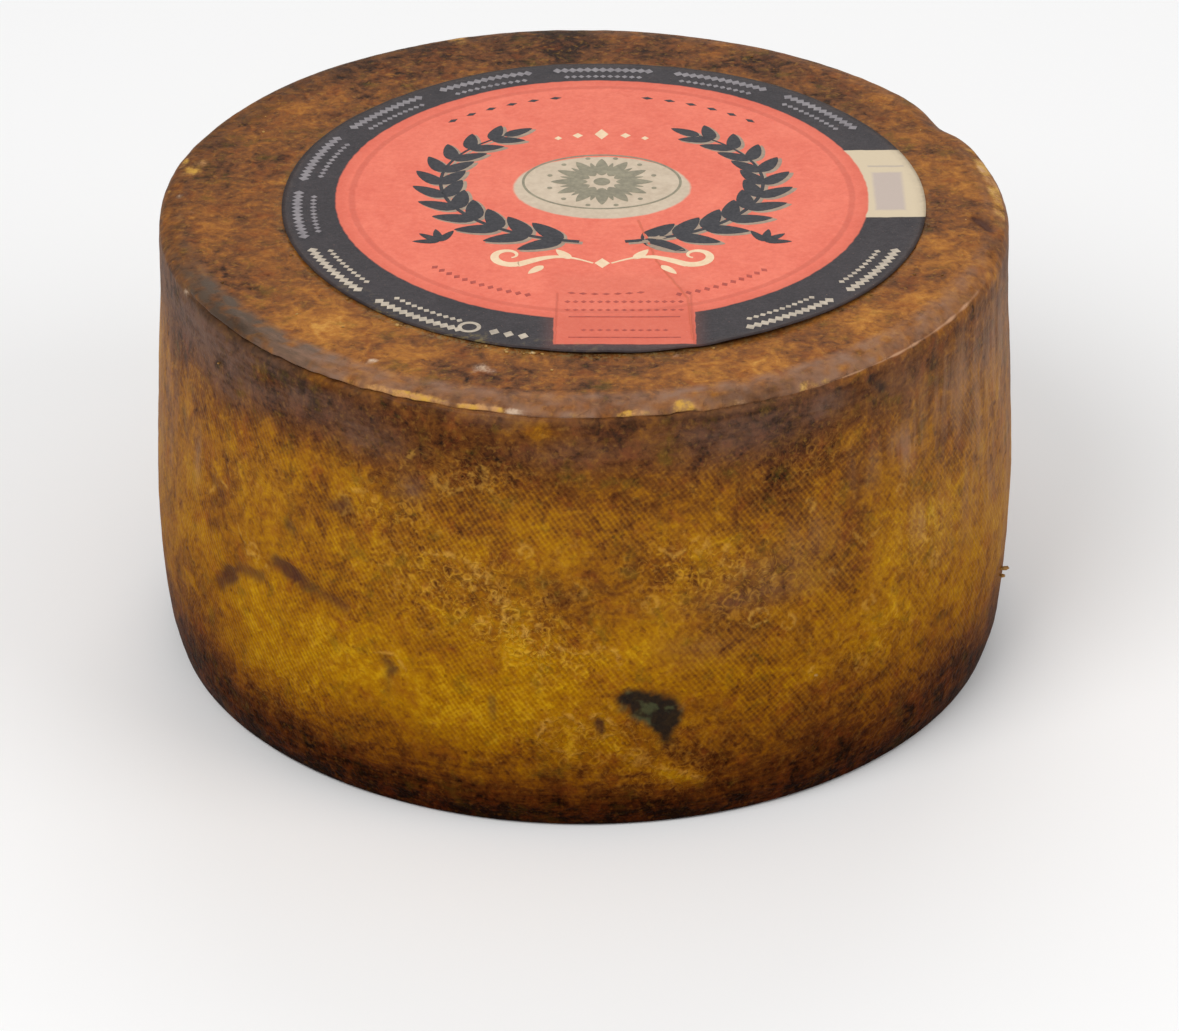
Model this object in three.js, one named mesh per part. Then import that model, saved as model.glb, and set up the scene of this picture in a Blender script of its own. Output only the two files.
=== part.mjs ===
import * as THREE from 'three';

// A whole pressed wheel of aged sheep cheese, with its round paper label on the top face.
// Millimetres, +Z up. The origin is the centre of the base, and the front is towards -Y.
// Angles are in degrees round +Z from +X, so the back is at 90 and the front at 270.

// Wheel: a barrel wall, a flat top and a pressed bevel that falls from the top to a thin lip
const topHeight = 104.6;
const bellyRadius = 98.6;
const bellyHeight = 42;
const footRadius = 95.7; // where the wall meets the rounded base edge
const footHeight = 1.5;
const footRound = 1.6;
const shoulderRadius = 95.9; // the straight upper wall
const shoulderHeight = 94;
const bevelRadius = 88.8; // where the flat top starts to fall
const aroundLabel = 79; // inside this radius the top is flat, to carry the label
const lipRadius = 95.1; // at the front, where the lip stands out
const cornerRadius = 94.3; // at the back, where the rim is only rounded
const wheelSegments = 120;
const wallSteps = 13;

// How far the lip lies below the flat top on each side of the wheel
const drop = { front: 2.3, back: 0.8, left: 1.0, right: 2.3 };

// The worn rim at the back right: a short deep notch in a long shallow dip
const notches = [
  { angle: 28, reach: 4.8, depth: 3.4 },
  { angle: 12, reach: 14, depth: 0.4 },
];
const wornInward = 1.6; // how far the bevel reaches into the top for each millimetre that a notch is deep

// The crack under the lip, open across the front and closing at both ends
const crack = { from: 196, to: 336, fade: 16, depth: 1.5, height: 0.6 };

// Shallow hollows in the wall, each with its reach round the wheel in degrees and up it in millimetres
const hollows = [
  { angle: 278.5, height: 32.5, reach: 4.5, tall: 6, depth: 0.7 },
  { angle: 219.5, height: 45, reach: 4.5, tall: 5, depth: 0.6 },
  { angle: 232, height: 51, reach: 7, tall: 4, depth: 0.5 },
];

// Unevenness of a wheel pressed in cloth and turned by hand
const wallWave = 0.35;
const topWave = 0.22;
const lipRagged = 0.45;

// Label
const labelRadius = 72.3;
const labelOffset = [4.3, 0.1];
const labelThickness = 0.4;
const labelGap = 0.3; // clear of the rind under it
const cockle = { height: 0.14, times: 7 }; // soft waves of the paper near its edge
const lift = { angle: 298, reach: 14, height: 0.6 }; // where the edge stands up
const labelSegments = 96;

const radians = THREE.MathUtils.degToRad;
const smooth = THREE.MathUtils.smoothstep;

// Signed difference of two angles, -180 to 180
function turnBetween(a, b) {
  return THREE.MathUtils.euclideanModulo(a - b + 180, 360) - 180;
}

// A soft hump round the wheel, 1 at its centre
function hump(angle, centre, reach) {
  return Math.exp(-((turnBetween(angle, centre) / reach) ** 2));
}

// A few seeded waves that close on themselves round the wheel, mostly within -1 to 1
function seededWaves(seed, lowest, count) {
  const waves = [];
  for (let i = 0; i < count; i += 1) {
    const times = lowest + Math.round(THREE.MathUtils.seededRandom(seed + i * 7) * lowest * 2);
    const phase = THREE.MathUtils.seededRandom(seed + i * 13 + 1) * 2 * Math.PI;
    waves.push({ times, phase });
  }
  const scale = 1 / Math.sqrt(2 * count);
  return (angle, shift = 0) => {
    const t = radians(angle);
    return scale * waves.reduce((sum, wave) => sum + Math.sin(wave.times * t + wave.phase + shift), 0);
  };
}

const wallUneven = seededWaves(11, 2, 3);
const topUneven = seededWaves(29, 3, 4);
const lipUneven = seededWaves(47, 11, 5);

function worn(angle) {
  return notches.reduce((sum, n) => sum + n.depth * hump(angle, n.angle, n.reach), 0);
}

// Depth of the unworn lip below the flat top: the four side values joined by a smooth wave
function lipDrop(angle) {
  const t = radians(angle);
  const mean = (drop.front + drop.back + drop.left + drop.right) / 4;
  const across = (drop.right - drop.left) / 2;
  const along = (drop.back - drop.front) / 2;
  const twice = (drop.right + drop.left - drop.front - drop.back) / 4;
  return mean + across * Math.cos(t) + along * Math.sin(t) + twice * Math.cos(2 * t);
}

// 1 where the crack under the lip is fully open, 0 where there is none
function crackOpen(angle) {
  const half = (crack.to - crack.from) / 2;
  const away = Math.abs(turnBetween(angle, (crack.from + crack.to) / 2));
  return 1 - smooth(away, half - crack.fade, half);
}

function hollowDepth(angle, height) {
  return hollows.reduce((sum, h) => {
    const upDown = Math.exp(-(((height - h.height) / h.tall) ** 2));
    return sum + h.depth * hump(angle, h.angle, h.reach) * upDown;
  }, 0);
}

// The barrel wall from the foot to the shoulder
const wallCurve = new THREE.SplineCurve([
  new THREE.Vector2(footRadius, footHeight),
  new THREE.Vector2(bellyRadius - 1.6, bellyHeight * 0.15),
  new THREE.Vector2(bellyRadius - 0.3, bellyHeight * 0.5),
  new THREE.Vector2(bellyRadius, bellyHeight),
  new THREE.Vector2(shoulderRadius + 1.2, shoulderHeight * 0.75),
  new THREE.Vector2(shoulderRadius + 0.2, shoulderHeight * 0.9),
  new THREE.Vector2(shoulderRadius, shoulderHeight),
]);

// One upright section of the wheel as [radius, height] pairs, from the base centre out, up and over the top
function wheelSection(angle) {
  const open = crackOpen(angle);
  const lipHeight = topHeight - lipDrop(angle) - worn(angle) - lipRagged * lipUneven(angle) * open;
  const section = [[0, 0], [footRadius * 0.6, 0], [footRadius - footRound, 0]];
  section.push([footRadius - footRound * 0.3, footHeight * 0.3]);
  for (const point of wallCurve.getPoints(wallSteps)) {
    const swell = Math.sqrt(Math.sin((Math.PI * point.y) / (shoulderHeight + footHeight)));
    const moved = wallWave * swell * wallUneven(angle, point.y / 40) - hollowDepth(angle, point.y);
    section.push([point.x + moved, point.y]);
  }
  // Over the shoulder and into the crack, or round the plain corner where there is none
  const lip = THREE.MathUtils.lerp(cornerRadius, lipRadius, open);
  const crackFloor = lip + 0.4 - crack.depth * open;
  section.push([shoulderRadius, lipHeight - crack.height - 2.6]);
  section.push([shoulderRadius - 0.15, lipHeight - crack.height - 1.1]);
  section.push([THREE.MathUtils.lerp(crackFloor, shoulderRadius, 0.6), lipHeight - crack.height]);
  section.push([crackFloor, lipHeight - crack.height * 0.6]);
  // The bevel, a quarter ellipse from the lip up to the flat
  const start = bevelRadius - wornInward * worn(angle);
  for (const part of [90, 78, 64, 48, 30, 12]) {
    const t = radians(part);
    section.push([start + (lip - start) * Math.sin(t), lipHeight + (topHeight - lipHeight) * Math.cos(t)]);
  }
  const rim = topWave * topUneven(angle);
  section.push([start - 1.5, topHeight + rim * 0.5]);
  section.push([(start + aroundLabel) / 2, topHeight + rim]);
  section.push([aroundLabel, topHeight]);
  section.push([labelRadius * 0.9, topHeight], [labelRadius * 0.45, topHeight], [0, topHeight]);
  return section;
}

// One section of the label: the underside out to the edge, then back over the printed face
function labelSection(angle) {
  const wave = cockle.height * (1 + Math.sin(radians(angle) * cockle.times + 0.8));
  const raised = wave + lift.height * hump(angle, lift.angle, lift.reach);
  const under = [];
  for (const ring of [0, 0.4, 0.7, 0.88, 1]) {
    under.push([ring * labelRadius, topHeight + labelGap + raised * smooth(ring, 0.72, 1)]);
  }
  const over = under.map(([radius, height]) => [radius, height + labelThickness]);
  return [...under, ...over.reverse()];
}

// A lathe-turned solid whose section changes with the angle: each lathe column moves to its own section
function turned(sectionAt, segments) {
  const profile = sectionAt(0).map(([radius, height]) => new THREE.Vector2(radius, height));
  const geometry = new THREE.LatheGeometry(profile, segments, Math.PI / 2);
  const position = geometry.getAttribute('position');
  for (let i = 0; i <= segments; i += 1) {
    const angle = ((i % segments) * 360) / segments;
    const t = radians(angle);
    sectionAt(angle).forEach(([radius, height], j) => {
      position.setXYZ(i * profile.length + j, radius * Math.cos(t), height, -radius * Math.sin(t));
    });
  }
  geometry.rotateX(Math.PI / 2);
  geometry.computeVertexNormals();
  return geometry;
}

function rind() {
  return new THREE.MeshStandardMaterial({ color: 0x8a5a1e, roughness: 0.55, metalness: 0 });
}

function printedPaper() {
  return new THREE.MeshStandardMaterial({ color: 0xe8705a, roughness: 0.6, metalness: 0 });
}

function wheel() {
  const mesh = new THREE.Mesh(turned(wheelSection, wheelSegments), rind());
  mesh.name = 'wheel';
  return mesh;
}

function label() {
  const mesh = new THREE.Mesh(turned(labelSection, labelSegments), printedPaper());
  mesh.name = 'label';
  mesh.position.set(labelOffset[0], labelOffset[1], 0);
  return mesh;
}

// Takes out the little that the unevenness moves the middle of the outline off the origin
function centred(group) {
  const middle = new THREE.Box3().setFromObject(group).getCenter(new THREE.Vector3());
  group.position.set(-middle.x, -middle.y, 0);
  return group;
}

const cheese = new THREE.Group();
cheese.add(wheel(), label());

export default centred(cheese);
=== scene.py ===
# An aged sheep cheese: the oiled rind and the printed paper label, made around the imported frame
import bpy
import bmesh
import math
import random
from mathutils import Matrix, Vector, noise


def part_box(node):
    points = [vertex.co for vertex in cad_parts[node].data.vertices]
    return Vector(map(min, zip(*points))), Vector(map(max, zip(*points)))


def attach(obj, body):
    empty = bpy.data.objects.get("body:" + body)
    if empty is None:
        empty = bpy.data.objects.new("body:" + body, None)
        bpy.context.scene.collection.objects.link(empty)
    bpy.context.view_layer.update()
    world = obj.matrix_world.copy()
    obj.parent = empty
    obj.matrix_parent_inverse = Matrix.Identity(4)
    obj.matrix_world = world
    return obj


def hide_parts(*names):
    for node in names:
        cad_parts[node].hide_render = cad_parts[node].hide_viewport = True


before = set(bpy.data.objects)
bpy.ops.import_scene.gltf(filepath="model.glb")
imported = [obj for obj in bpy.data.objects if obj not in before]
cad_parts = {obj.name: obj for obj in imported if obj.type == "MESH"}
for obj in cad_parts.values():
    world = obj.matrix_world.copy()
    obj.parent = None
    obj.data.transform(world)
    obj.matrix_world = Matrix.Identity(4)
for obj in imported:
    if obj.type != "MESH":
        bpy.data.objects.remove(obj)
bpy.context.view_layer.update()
wheelLow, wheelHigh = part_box("wheel")
labelLow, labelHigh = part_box("label")
mm = 0.001  # the sizes below are in millimetres, and angles in degrees round +Z from +X, so the front is 270
perDegree = math.radians(1) * 98  # millimetres round the wall for one degree
labelMiddle = ((labelLow.x + labelHigh.x) / 2 / mm, (labelLow.y + labelHigh.y) / 2 / mm)
labelReach = (labelHigh.x - labelLow.x) / 2 / mm


# Small helpers

def turnBetween(a, b):
    return (a - b + 180) % 360 - 180


def hump(angle, centre, reach):
    return math.exp(-(turnBetween(angle, centre) / reach) ** 2)


def rise(x, low, high):
    t = min(max((x - low) / (high - low), 0), 1)
    return t * t * (3 - 2 * t)


def mix(a, b, share):
    return a + (b - a) * share


def grain(x, y, z, size, shift=0.0):
    return noise.noise(Vector((x / size + shift, y / size - shift, z / size + 2 * shift)))


def curveThrough(points, x):
    # a smooth curve through a few (x, y) points, level beyond the first and the last
    if x <= points[0][0]:
        return points[0][1]
    if x >= points[-1][0]:
        return points[-1][1]
    i = 0
    while points[i + 1][0] < x:
        i += 1
    x0, y0 = points[i]
    x1, y1 = points[i + 1]
    before = points[max(i - 1, 0)]
    after = points[min(i + 2, len(points) - 1)]
    width = x1 - x0
    rise0 = width * (y1 - before[1]) / (x1 - before[0])
    rise1 = width * (after[1] - y0) / (after[0] - x0)
    t = (x - x0) / width
    bend0 = (2 * t ** 3 - 3 * t ** 2 + 1) * y0 + (t ** 3 - 2 * t ** 2 + t) * rise0
    bend1 = (-2 * t ** 3 + 3 * t ** 2) * y1 + (t ** 3 - t ** 2) * rise1
    return bend0 + bend1


def finishMesh(bm, name, material, smoothFaces=True):
    bmesh.ops.scale(bm, vec=(mm, mm, mm), verts=bm.verts)
    mesh = bpy.data.meshes.new(name)
    bm.to_mesh(mesh)
    bm.free()
    mesh.polygons.foreach_set("use_smooth", [smoothFaces] * len(mesh.polygons))
    mesh.materials.append(material)
    piece = bpy.data.objects.new(name, mesh)
    bpy.context.scene.collection.objects.link(piece)
    return piece


def spinProfile(bm, verts, steps):
    # turns a profile from pole to pole into a closed shell
    for a, b in zip(verts, verts[1:]):
        bm.edges.new((a, b))
    bmesh.ops.spin(bm, geom=bm.verts[:] + bm.edges[:], cent=(0, 0, 0), axis=(0, 0, 1), dvec=(0, 0, 0),
                   angle=math.tau, steps=steps, use_merge=True, use_duplicate=False)
    poles = [v for v in bm.verts if math.hypot(v.co.x, v.co.y) < 0.001]
    bmesh.ops.remove_doubles(bm, verts=poles, dist=0.001)
    bmesh.ops.recalc_face_normals(bm, faces=bm.faces)


def paintMask(piece, name, values):
    layer = piece.data.attributes.new(name, "FLOAT", "POINT")
    layer.data.foreach_set("value", values)


# Shader helpers

def colour(red, green, blue):
    # screen colour, 0 to 255, as the linear colour that the shader wants
    def toLinear(c):
        c = c / 255
        return c / 12.92 if c <= 0.04045 else ((c + 0.055) / 1.055) ** 2.4
    return (toLinear(red), toLinear(green), toLinear(blue), 1)


def setSocket(tree, socket, value):
    if isinstance(value, bpy.types.NodeSocket):
        tree.links.new(value, socket)
    else:
        socket.default_value = value


def addNode(tree, kind, sockets=None, **settings):
    node = tree.nodes.new(kind)
    for name, value in settings.items():
        setattr(node, name, value)
    for name, value in (sockets or {}).items():
        setSocket(tree, node.inputs[name], value)
    return node


def calc(tree, operation, *values, clamp=False):
    sockets = dict(enumerate(values))
    return addNode(tree, "ShaderNodeMath", sockets, operation=operation, use_clamp=clamp).outputs[0]


def vectorCalc(tree, operation, *values):
    node = addNode(tree, "ShaderNodeVectorMath", dict(enumerate(values)), operation=operation)
    return node.outputs["Value" if operation in ("LENGTH", "DISTANCE", "DOT_PRODUCT") else "Vector"]


def total(tree, *values):
    result = values[0]
    for value in values[1:]:
        result = calc(tree, "ADD", result, value)
    return result


def times(tree, *values):
    result = values[0]
    for value in values[1:]:
        result = calc(tree, "MULTIPLY", result, value)
    return result


def centred(tree, value, strength):
    return calc(tree, "MULTIPLY", calc(tree, "SUBTRACT", value, 0.5), strength)


def remap(tree, value, fromLow, fromHigh, toLow=0.0, toHigh=1.0):
    sockets = {"Value": value, "From Min": fromLow, "From Max": fromHigh, "To Min": toLow, "To Max": toHigh}
    return addNode(tree, "ShaderNodeMapRange", sockets, interpolation_type="SMOOTHSTEP").outputs["Result"]


def mixValue(tree, share, a, b):
    return addNode(tree, "ShaderNodeMix", {0: share, 2: a, 3: b}, data_type="FLOAT").outputs[0]


def mixColour(tree, share, a, b, blend="MIX"):
    node = addNode(tree, "ShaderNodeMix", data_type="RGBA", blend_type=blend, clamp_factor=True)
    for socket, value in ((node.inputs[0], share), (node.inputs[6], a), (node.inputs[7], b)):
        setSocket(tree, socket, value)
    return node.outputs[2]


def noiseAt(tree, vector, size, detail=2.0, roughness=0.5, distortion=0.0):
    sockets = {"Vector": vector, "Scale": 1 / size, "Detail": detail,
               "Roughness": roughness, "Distortion": distortion}
    return addNode(tree, "ShaderNodeTexNoise", sockets).outputs["Fac"]


def noiseOffset(tree, vector, size):
    # three noises at once, round 0, to bend other patterns with
    node = addNode(tree, "ShaderNodeTexNoise", {"Vector": vector, "Scale": 1 / size, "Detail": 1.0})
    return vectorCalc(tree, "SUBTRACT", node.outputs["Color"], (0.5, 0.5, 0.5))


def bentBy(tree, place, offset, reach):
    # place, moved by an offset that each axis scales by its reach
    node = addNode(tree, "ShaderNodeVectorMath", {0: offset, 1: reach, 2: place}, operation="MULTIPLY_ADD")
    return node.outputs["Vector"]


def ramp(tree, value, stops):
    node = addNode(tree, "ShaderNodeValToRGB", {"Fac": value})
    elements = node.color_ramp.elements
    while len(elements) < len(stops):
        elements.new(0.5)
    for element, (place, shade) in zip(elements, stops):
        element.position = place
        element.color = shade
    return node.outputs["Color"]


def curve(tree, value, points):
    node = addNode(tree, "ShaderNodeFloatCurve", {"Value": value})
    line = node.mapping.curves[0]
    line.points[0].location = points[0]
    line.points[1].location = points[-1]
    for x, y in points[1:-1]:
        line.points.new(x, y)
    node.mapping.update()
    return node.outputs[0]


def mask(tree, name):
    return addNode(tree, "ShaderNodeAttribute", attribute_name=name, attribute_type="GEOMETRY").outputs["Fac"]


def inMillimetres(tree, shift=(0, 0, 0), flat=False):
    where = addNode(tree, "ShaderNodeTexCoord").outputs["Object"]
    scale = (1 / mm, 1 / mm, 0 if flat else 1 / mm)
    sockets = {"Vector": where, "Scale": scale, "Location": shift}
    return addNode(tree, "ShaderNodeMapping", sockets).outputs["Vector"]


def newMaterial(name, specular):
    material = bpy.data.materials.new(name)
    material.use_nodes = True
    tree = material.node_tree
    shader = tree.nodes["Principled BSDF"]
    shader.inputs["Specular IOR Level"].default_value = specular
    return material, tree, shader


def addBump(tree, shader, height, distance, strength=1.0):
    sockets = {"Height": height, "Strength": strength, "Distance": distance * mm}
    bump = addNode(tree, "ShaderNodeBump", sockets)
    tree.links.new(bump.outputs["Normal"], shader.inputs["Normal"])


def newGroup(name, inputs, outputs):
    group = bpy.data.node_groups.new(name, "ShaderNodeTree")
    for label, kind in inputs:
        group.interface.new_socket(label, in_out="INPUT", socket_type="NodeSocket" + kind)
    for label, kind in outputs:
        group.interface.new_socket(label, in_out="OUTPUT", socket_type="NodeSocket" + kind)
    return group, group.nodes.new("NodeGroupInput").outputs, group.nodes.new("NodeGroupOutput").inputs


def useGroup(tree, group, sockets):
    node = tree.nodes.new("ShaderNodeGroup")
    node.node_tree = group
    for name, value in sockets.items():
        setSocket(tree, node.inputs[name], value)
    return node.outputs


def makeOvalMark():
    # 1 inside an oval, 0 outside, with a soft edge
    group, given, result = newGroup(
        "ovalMark",
        [("Point", "Vector"), ("Centre", "Vector"), ("Half", "Vector"), ("Edge", "Float")],
        [("Mask", "Float")])
    away = vectorCalc(group, "SUBTRACT", given["Point"], given["Centre"])
    far = vectorCalc(group, "LENGTH", vectorCalc(group, "DIVIDE", away, given["Half"]))
    inner = calc(group, "SUBTRACT", 1.0, given["Edge"])
    outer = calc(group, "ADD", 1.0, given["Edge"])
    group.links.new(calc(group, "SUBTRACT", 1.0, remap(group, far, inner, outer)), result["Mask"])
    return group


def makeBoxMark():
    # 1 inside an upright rectangle, 0 outside
    group, given, result = newGroup(
        "boxMark",
        [("Point", "Vector"), ("Centre", "Vector"), ("Half", "Vector"), ("Edge", "Float")],
        [("Mask", "Float")])
    away = vectorCalc(group, "ABSOLUTE", vectorCalc(group, "SUBTRACT", given["Point"], given["Centre"]))
    over = addNode(group, "ShaderNodeSeparateXYZ", {0: vectorCalc(group, "SUBTRACT", away, given["Half"])})
    worst = calc(group, "MAXIMUM", over.outputs["X"], over.outputs["Y"])
    low = calc(group, "MULTIPLY", given["Edge"], -1.0)
    group.links.new(calc(group, "SUBTRACT", 1.0, remap(group, worst, low, given["Edge"])), result["Mask"])
    return group


def makeLineMark():
    # 1 on a straight line between two points, fading over its width
    group, given, result = newGroup(
        "lineMark",
        [("Point", "Vector"), ("Start", "Vector"), ("End", "Vector"), ("Width", "Float")],
        [("Mask", "Float")])
    run = vectorCalc(group, "SUBTRACT", given["End"], given["Start"])
    off = vectorCalc(group, "SUBTRACT", given["Point"], given["Start"])
    squared = vectorCalc(group, "DOT_PRODUCT", run, run)
    along = calc(group, "DIVIDE", vectorCalc(group, "DOT_PRODUCT", off, run), squared, clamp=True)
    scaled = addNode(group, "ShaderNodeVectorMath", {0: run, "Scale": along}, operation="SCALE")
    far = vectorCalc(group, "LENGTH", vectorCalc(group, "SUBTRACT", off, scaled.outputs["Vector"]))
    half = calc(group, "MULTIPLY", given["Width"], 0.5)
    group.links.new(calc(group, "SUBTRACT", 1.0, remap(group, far, 0.0, half)), result["Mask"])
    return group


def makeMottle():
    # the cloudy, grainy unevenness that rind, crumbs and paper share, round 0
    group, given, result = newGroup(
        "mottle",
        [("Vector", "Vector"), ("Broad", "Float"), ("Middle", "Float"), ("Fine", "Float")],
        [("Value", "Float"), ("Grain", "Float")])
    broad = centred(group, noiseAt(group, given["Vector"], 15.0, 3.0, 0.6, 0.5), given["Broad"])
    middle = centred(group, noiseAt(group, given["Vector"], 4.6, 3.0, 0.62, 0.9), given["Middle"])
    fine = centred(group, noiseAt(group, given["Vector"], 1.35, 2.0, 0.6), given["Fine"])
    group.links.new(total(group, broad, middle, fine), result["Value"])
    group.links.new(noiseAt(group, given["Vector"], 0.6, 2.0, 0.6), result["Grain"])
    return group


ovalMark = makeOvalMark()
boxMark = makeBoxMark()
lineMark = makeLineMark()
mottle = makeMottle()
print("shader groups made")


# The wheel's form, as the frame has it: a barrel wall, a crack under a thin lip, a pressed bevel, a flat top
wheelForm = {
    "columns": 636,
    "flatTop": 104.6,
    "bevelRadius": 88.8,
    "lipRadius": 95.1,
    "cornerRadius": 95.75,
    "shoulderRadius": 95.9,
    "footRadius": 95.7,
    "footRound": 1.6,
    "wall": [(1.5, 95.7), (6.3, 97.0), (21, 98.3), (42, 98.6), (70.5, 97.1), (84.6, 96.1), (94, 95.9)],
    "wallRows": 92,
    "drop": {"front": 2.3, "back": 0.8, "left": 1.0, "right": 2.3},  # of the lip below the flat top
    "notches": [(28, 4.8, 3.4), (12, 14, 0.4)],  # angle, reach and depth of the worn rim
    "wornInward": 1.6,
    # how much of a lip there is by angle, from 0 for a plain corner, and how deep the crack under it goes
    "lipShare": [(190, 0), (198, 0.1), (207, 1), (296, 1), (305, 0.8), (330, 0.35), (342, 0)],
    "crackDepth": [(196, 0), (204, 0.2), (211, 1.5), (233, 1.5), (243, 0.75), (262, 0.5),
                   (281, 0.7), (287, 1.0), (292, 0.7), (300, 0.2), (330, 0)],
    "crackHeight": 0.6,
    "ridgeAndHighlight": {"from": (299.5, 302), "to": (328, 343)},  # angles where the lip's ridge and its painted highlight fade in and out
    "gape": (219, 15),  # where the crack gapes widest: angle and reach
    "underLabel": 66.0,  # rows get coarse inside this radius, which the label covers
}

# Strokes on the wall through (angle, height) points: relief, black stain, brown smudge and warmth
wallStrokes = [
    {"path": [(215.2, 39.4), (216.6, 42.4)], "width": 2.7, "depth": 0.5, "smudge": 1.0},
    {"path": [(216.6, 42.4), (219.2, 45.8), (223.8, 47.4)], "width": 1.9, "depth": 0.5, "smudge": 0.75},
    {"path": [(226.8, 52.8), (229.4, 51.8)], "width": 2.2, "depth": 0.5, "smudge": 0.95},
    {"path": [(229.4, 51.6), (233.0, 50.2), (238.4, 49.2)], "width": 2.0, "depth": 0.5, "smudge": 0.7},
    {"path": [(275.6, 34.0), (278.4, 33.0), (280.7, 31.6)], "width": 2.9, "depth": 0.6, "stain": 1.15},
    {"path": [(277.8, 31.6), (280.2, 28.6)], "width": 2.5, "depth": 0.4, "stain": 0.9},
    {"path": [(280.2, 29.6), (280.6, 23.4)], "width": 2.2, "depth": 0.5, "stain": 0.9},
    {"path": [(271.7, 28.6), (272.2, 26.4)], "width": 1.1, "depth": 0.8, "smudge": 1.2},
    {"path": [(244.2, 38.6), (245.3, 36.8)], "width": 1.5, "depth": 0.5, "smudge": 0.8},
    {"path": [(244.6, 34.8), (244.4, 30.2)], "width": 1.3, "depth": 0.15, "smudge": 0.5},
    {"path": [(258.4, 34.4), (258.5, 29.0)], "width": 0.9, "depth": 0.2, "smudge": 0.6},
    {"path": [(236.4, 72.6), (238.4, 74.2)], "width": 1.9, "depth": 0.4, "smudge": 0.8},
    {"path": [(229.0, 63.6), (230.0, 61.8)], "width": 1.2, "depth": 0.35, "smudge": 0.7},
    {"path": [(213.4, 62.8), (215.2, 60.6)], "width": 1.8, "depth": 0.2, "smudge": 0.6},
    {"path": [(244.0, 79.0), (247.0, 79.6)], "width": 0.9, "depth": 0.2, "smudge": 0.6},
    {"path": [(309.8, 99.6), (311.6, 96.2)], "width": 1.3, "depth": 0.5, "stain": 0.7},
    {"path": [(304.2, 101.0), (305.0, 97.6)], "width": 1.1, "depth": 0.35, "stain": 0.5},
    {"path": [(306.6, 98.4), (307.0, 95.6)], "width": 1.0, "depth": 0.3, "stain": 0.4},
    {"path": [(281.0, 14.4), (284.8, 11.6)], "width": 1.9, "depth": -0.45, "warmth": 2.2},
    {"path": [(273.4, 23.6), (277.0, 18.4), (281.0, 14.6)], "width": 2.4, "depth": -0.2, "warmth": 0.8},
]

# Thin folds that stand out paler: strength, then (angle, height) points
paleFolds = [
    (0.8, [(249.4, 67.0), (253.0, 67.8), (255.4, 66.6)]),
    (0.8, [(255.4, 66.6), (257.4, 62.0), (259.8, 56.6)]),
    (0.6, [(256.6, 66.8), (259.4, 61.0), (260.6, 58.0)]),
    (0.8, [(260.0, 55.0), (260.2, 51.6), (262.8, 50.4), (264.4, 53.0)]),
    (0.8, [(264.6, 46.0), (266.4, 48.0), (268.6, 46.6)]),
    (0.6, [(270.0, 46.2), (272.4, 48.4), (274.2, 46.6), (274.4, 43.4)]),
    (1.0, [(270.2, 27.6), (270.7, 30.2), (272.2, 30.8), (273.4, 29.0)]),
    (0.8, [(273.0, 25.2), (271.4, 24.8)]),
    (0.9, [(264.2, 25.4), (265.2, 29.4), (268.0, 30.8), (270.0, 28.4)]),
    (0.6, [(265.4, 22.6), (267.2, 20.6), (269.4, 21.0)]),
    (0.8, [(275.0, 20.6), (279.0, 16.8), (283.0, 14.0)]),
    (1.2, [(283.2, 14.4), (285.4, 11.6)]),
    (0.7, [(219.6, 56.0), (221.4, 52.8), (225.0, 50.4)]),
    (0.6, [(212.6, 60.0), (214.6, 64.6), (217.4, 63.8)]),
    (0.7, [(243.4, 40.2), (245.6, 40.6), (246.6, 38.0)]),
    (0.5, [(252.4, 81.4), (255.6, 84.6), (258.6, 84.0)]),
    (0.5, [(246.4, 86.6), (247.8, 89.8)]),
    (0.6, [(279.6, 70.6), (281.6, 68.6), (283.6, 70.8)]),
    (0.6, [(288.4, 70.0), (287.4, 65.6), (289.8, 62.6)]),
    (0.5, [(306.6, 64.0), (308.6, 60.8), (310.6, 62.8)]),
    (0.5, [(320.4, 60.0), (318.4, 56.0), (320.6, 53.0)]),
    (0.5, [(238.6, 77.6), (241.2, 78.8)]),
    (0.6, [(100.0, 44.0), (103.0, 48.0), (107.0, 47.0)]),
    (0.6, [(52.0, 58.0), (56.0, 55.0), (57.0, 50.0)]),
    (0.6, [(146.0, 36.0), (149.0, 40.0), (153.0, 38.0)]),
]
# little raised rings in the crust: angle, height, radius and strength
ringSpots = [
    (261.6, 52.0, 1.9, 1.0), (292.4, 50.8, 2.0, 0.8), (296.6, 48.0, 1.6, 0.6), (289.6, 62.4, 1.6, 0.7),
    (257.2, 51.6, 1.5, 0.6), (237.6, 73.6, 2.1, 0.5), (222.4, 52.4, 2.2, 0.6), (303.0, 56.0, 1.4, 0.5),
    (299.9, 74.4, 1.3, 0.5), (315.0, 69.8, 1.4, 0.5), (276.4, 19.5, 2.4, 0.4), (309.0, 46.0, 1.6, 0.5),
    (255.6, 61.6, 1.5, 0.6), (284.6, 70.6, 1.6, 0.5), (293.6, 60.2, 1.5, 0.5), (110.0, 50.0, 2.0, 0.7),
    (62.0, 34.0, 1.8, 0.7), (150.0, 60.0, 2.1, 0.6), (24.0, 44.0, 1.7, 0.6), (88.0, 66.0, 1.6, 0.5),
    (251.6, 84.6, 1.5, 0.5), (256.6, 87.6, 1.8, 0.5), (262.6, 70.6, 1.4, 0.5), (246.6, 58.0, 1.5, 0.4),
    (269.4, 61.4, 1.5, 0.4), (278.4, 57.8, 1.6, 0.5), (308.0, 31.0, 1.6, 0.5), (300.4, 33.0, 1.2, 0.8),
    (321.6, 47.6, 1.4, 0.6), (316.2, 73.6, 1.2, 0.6),
]

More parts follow.
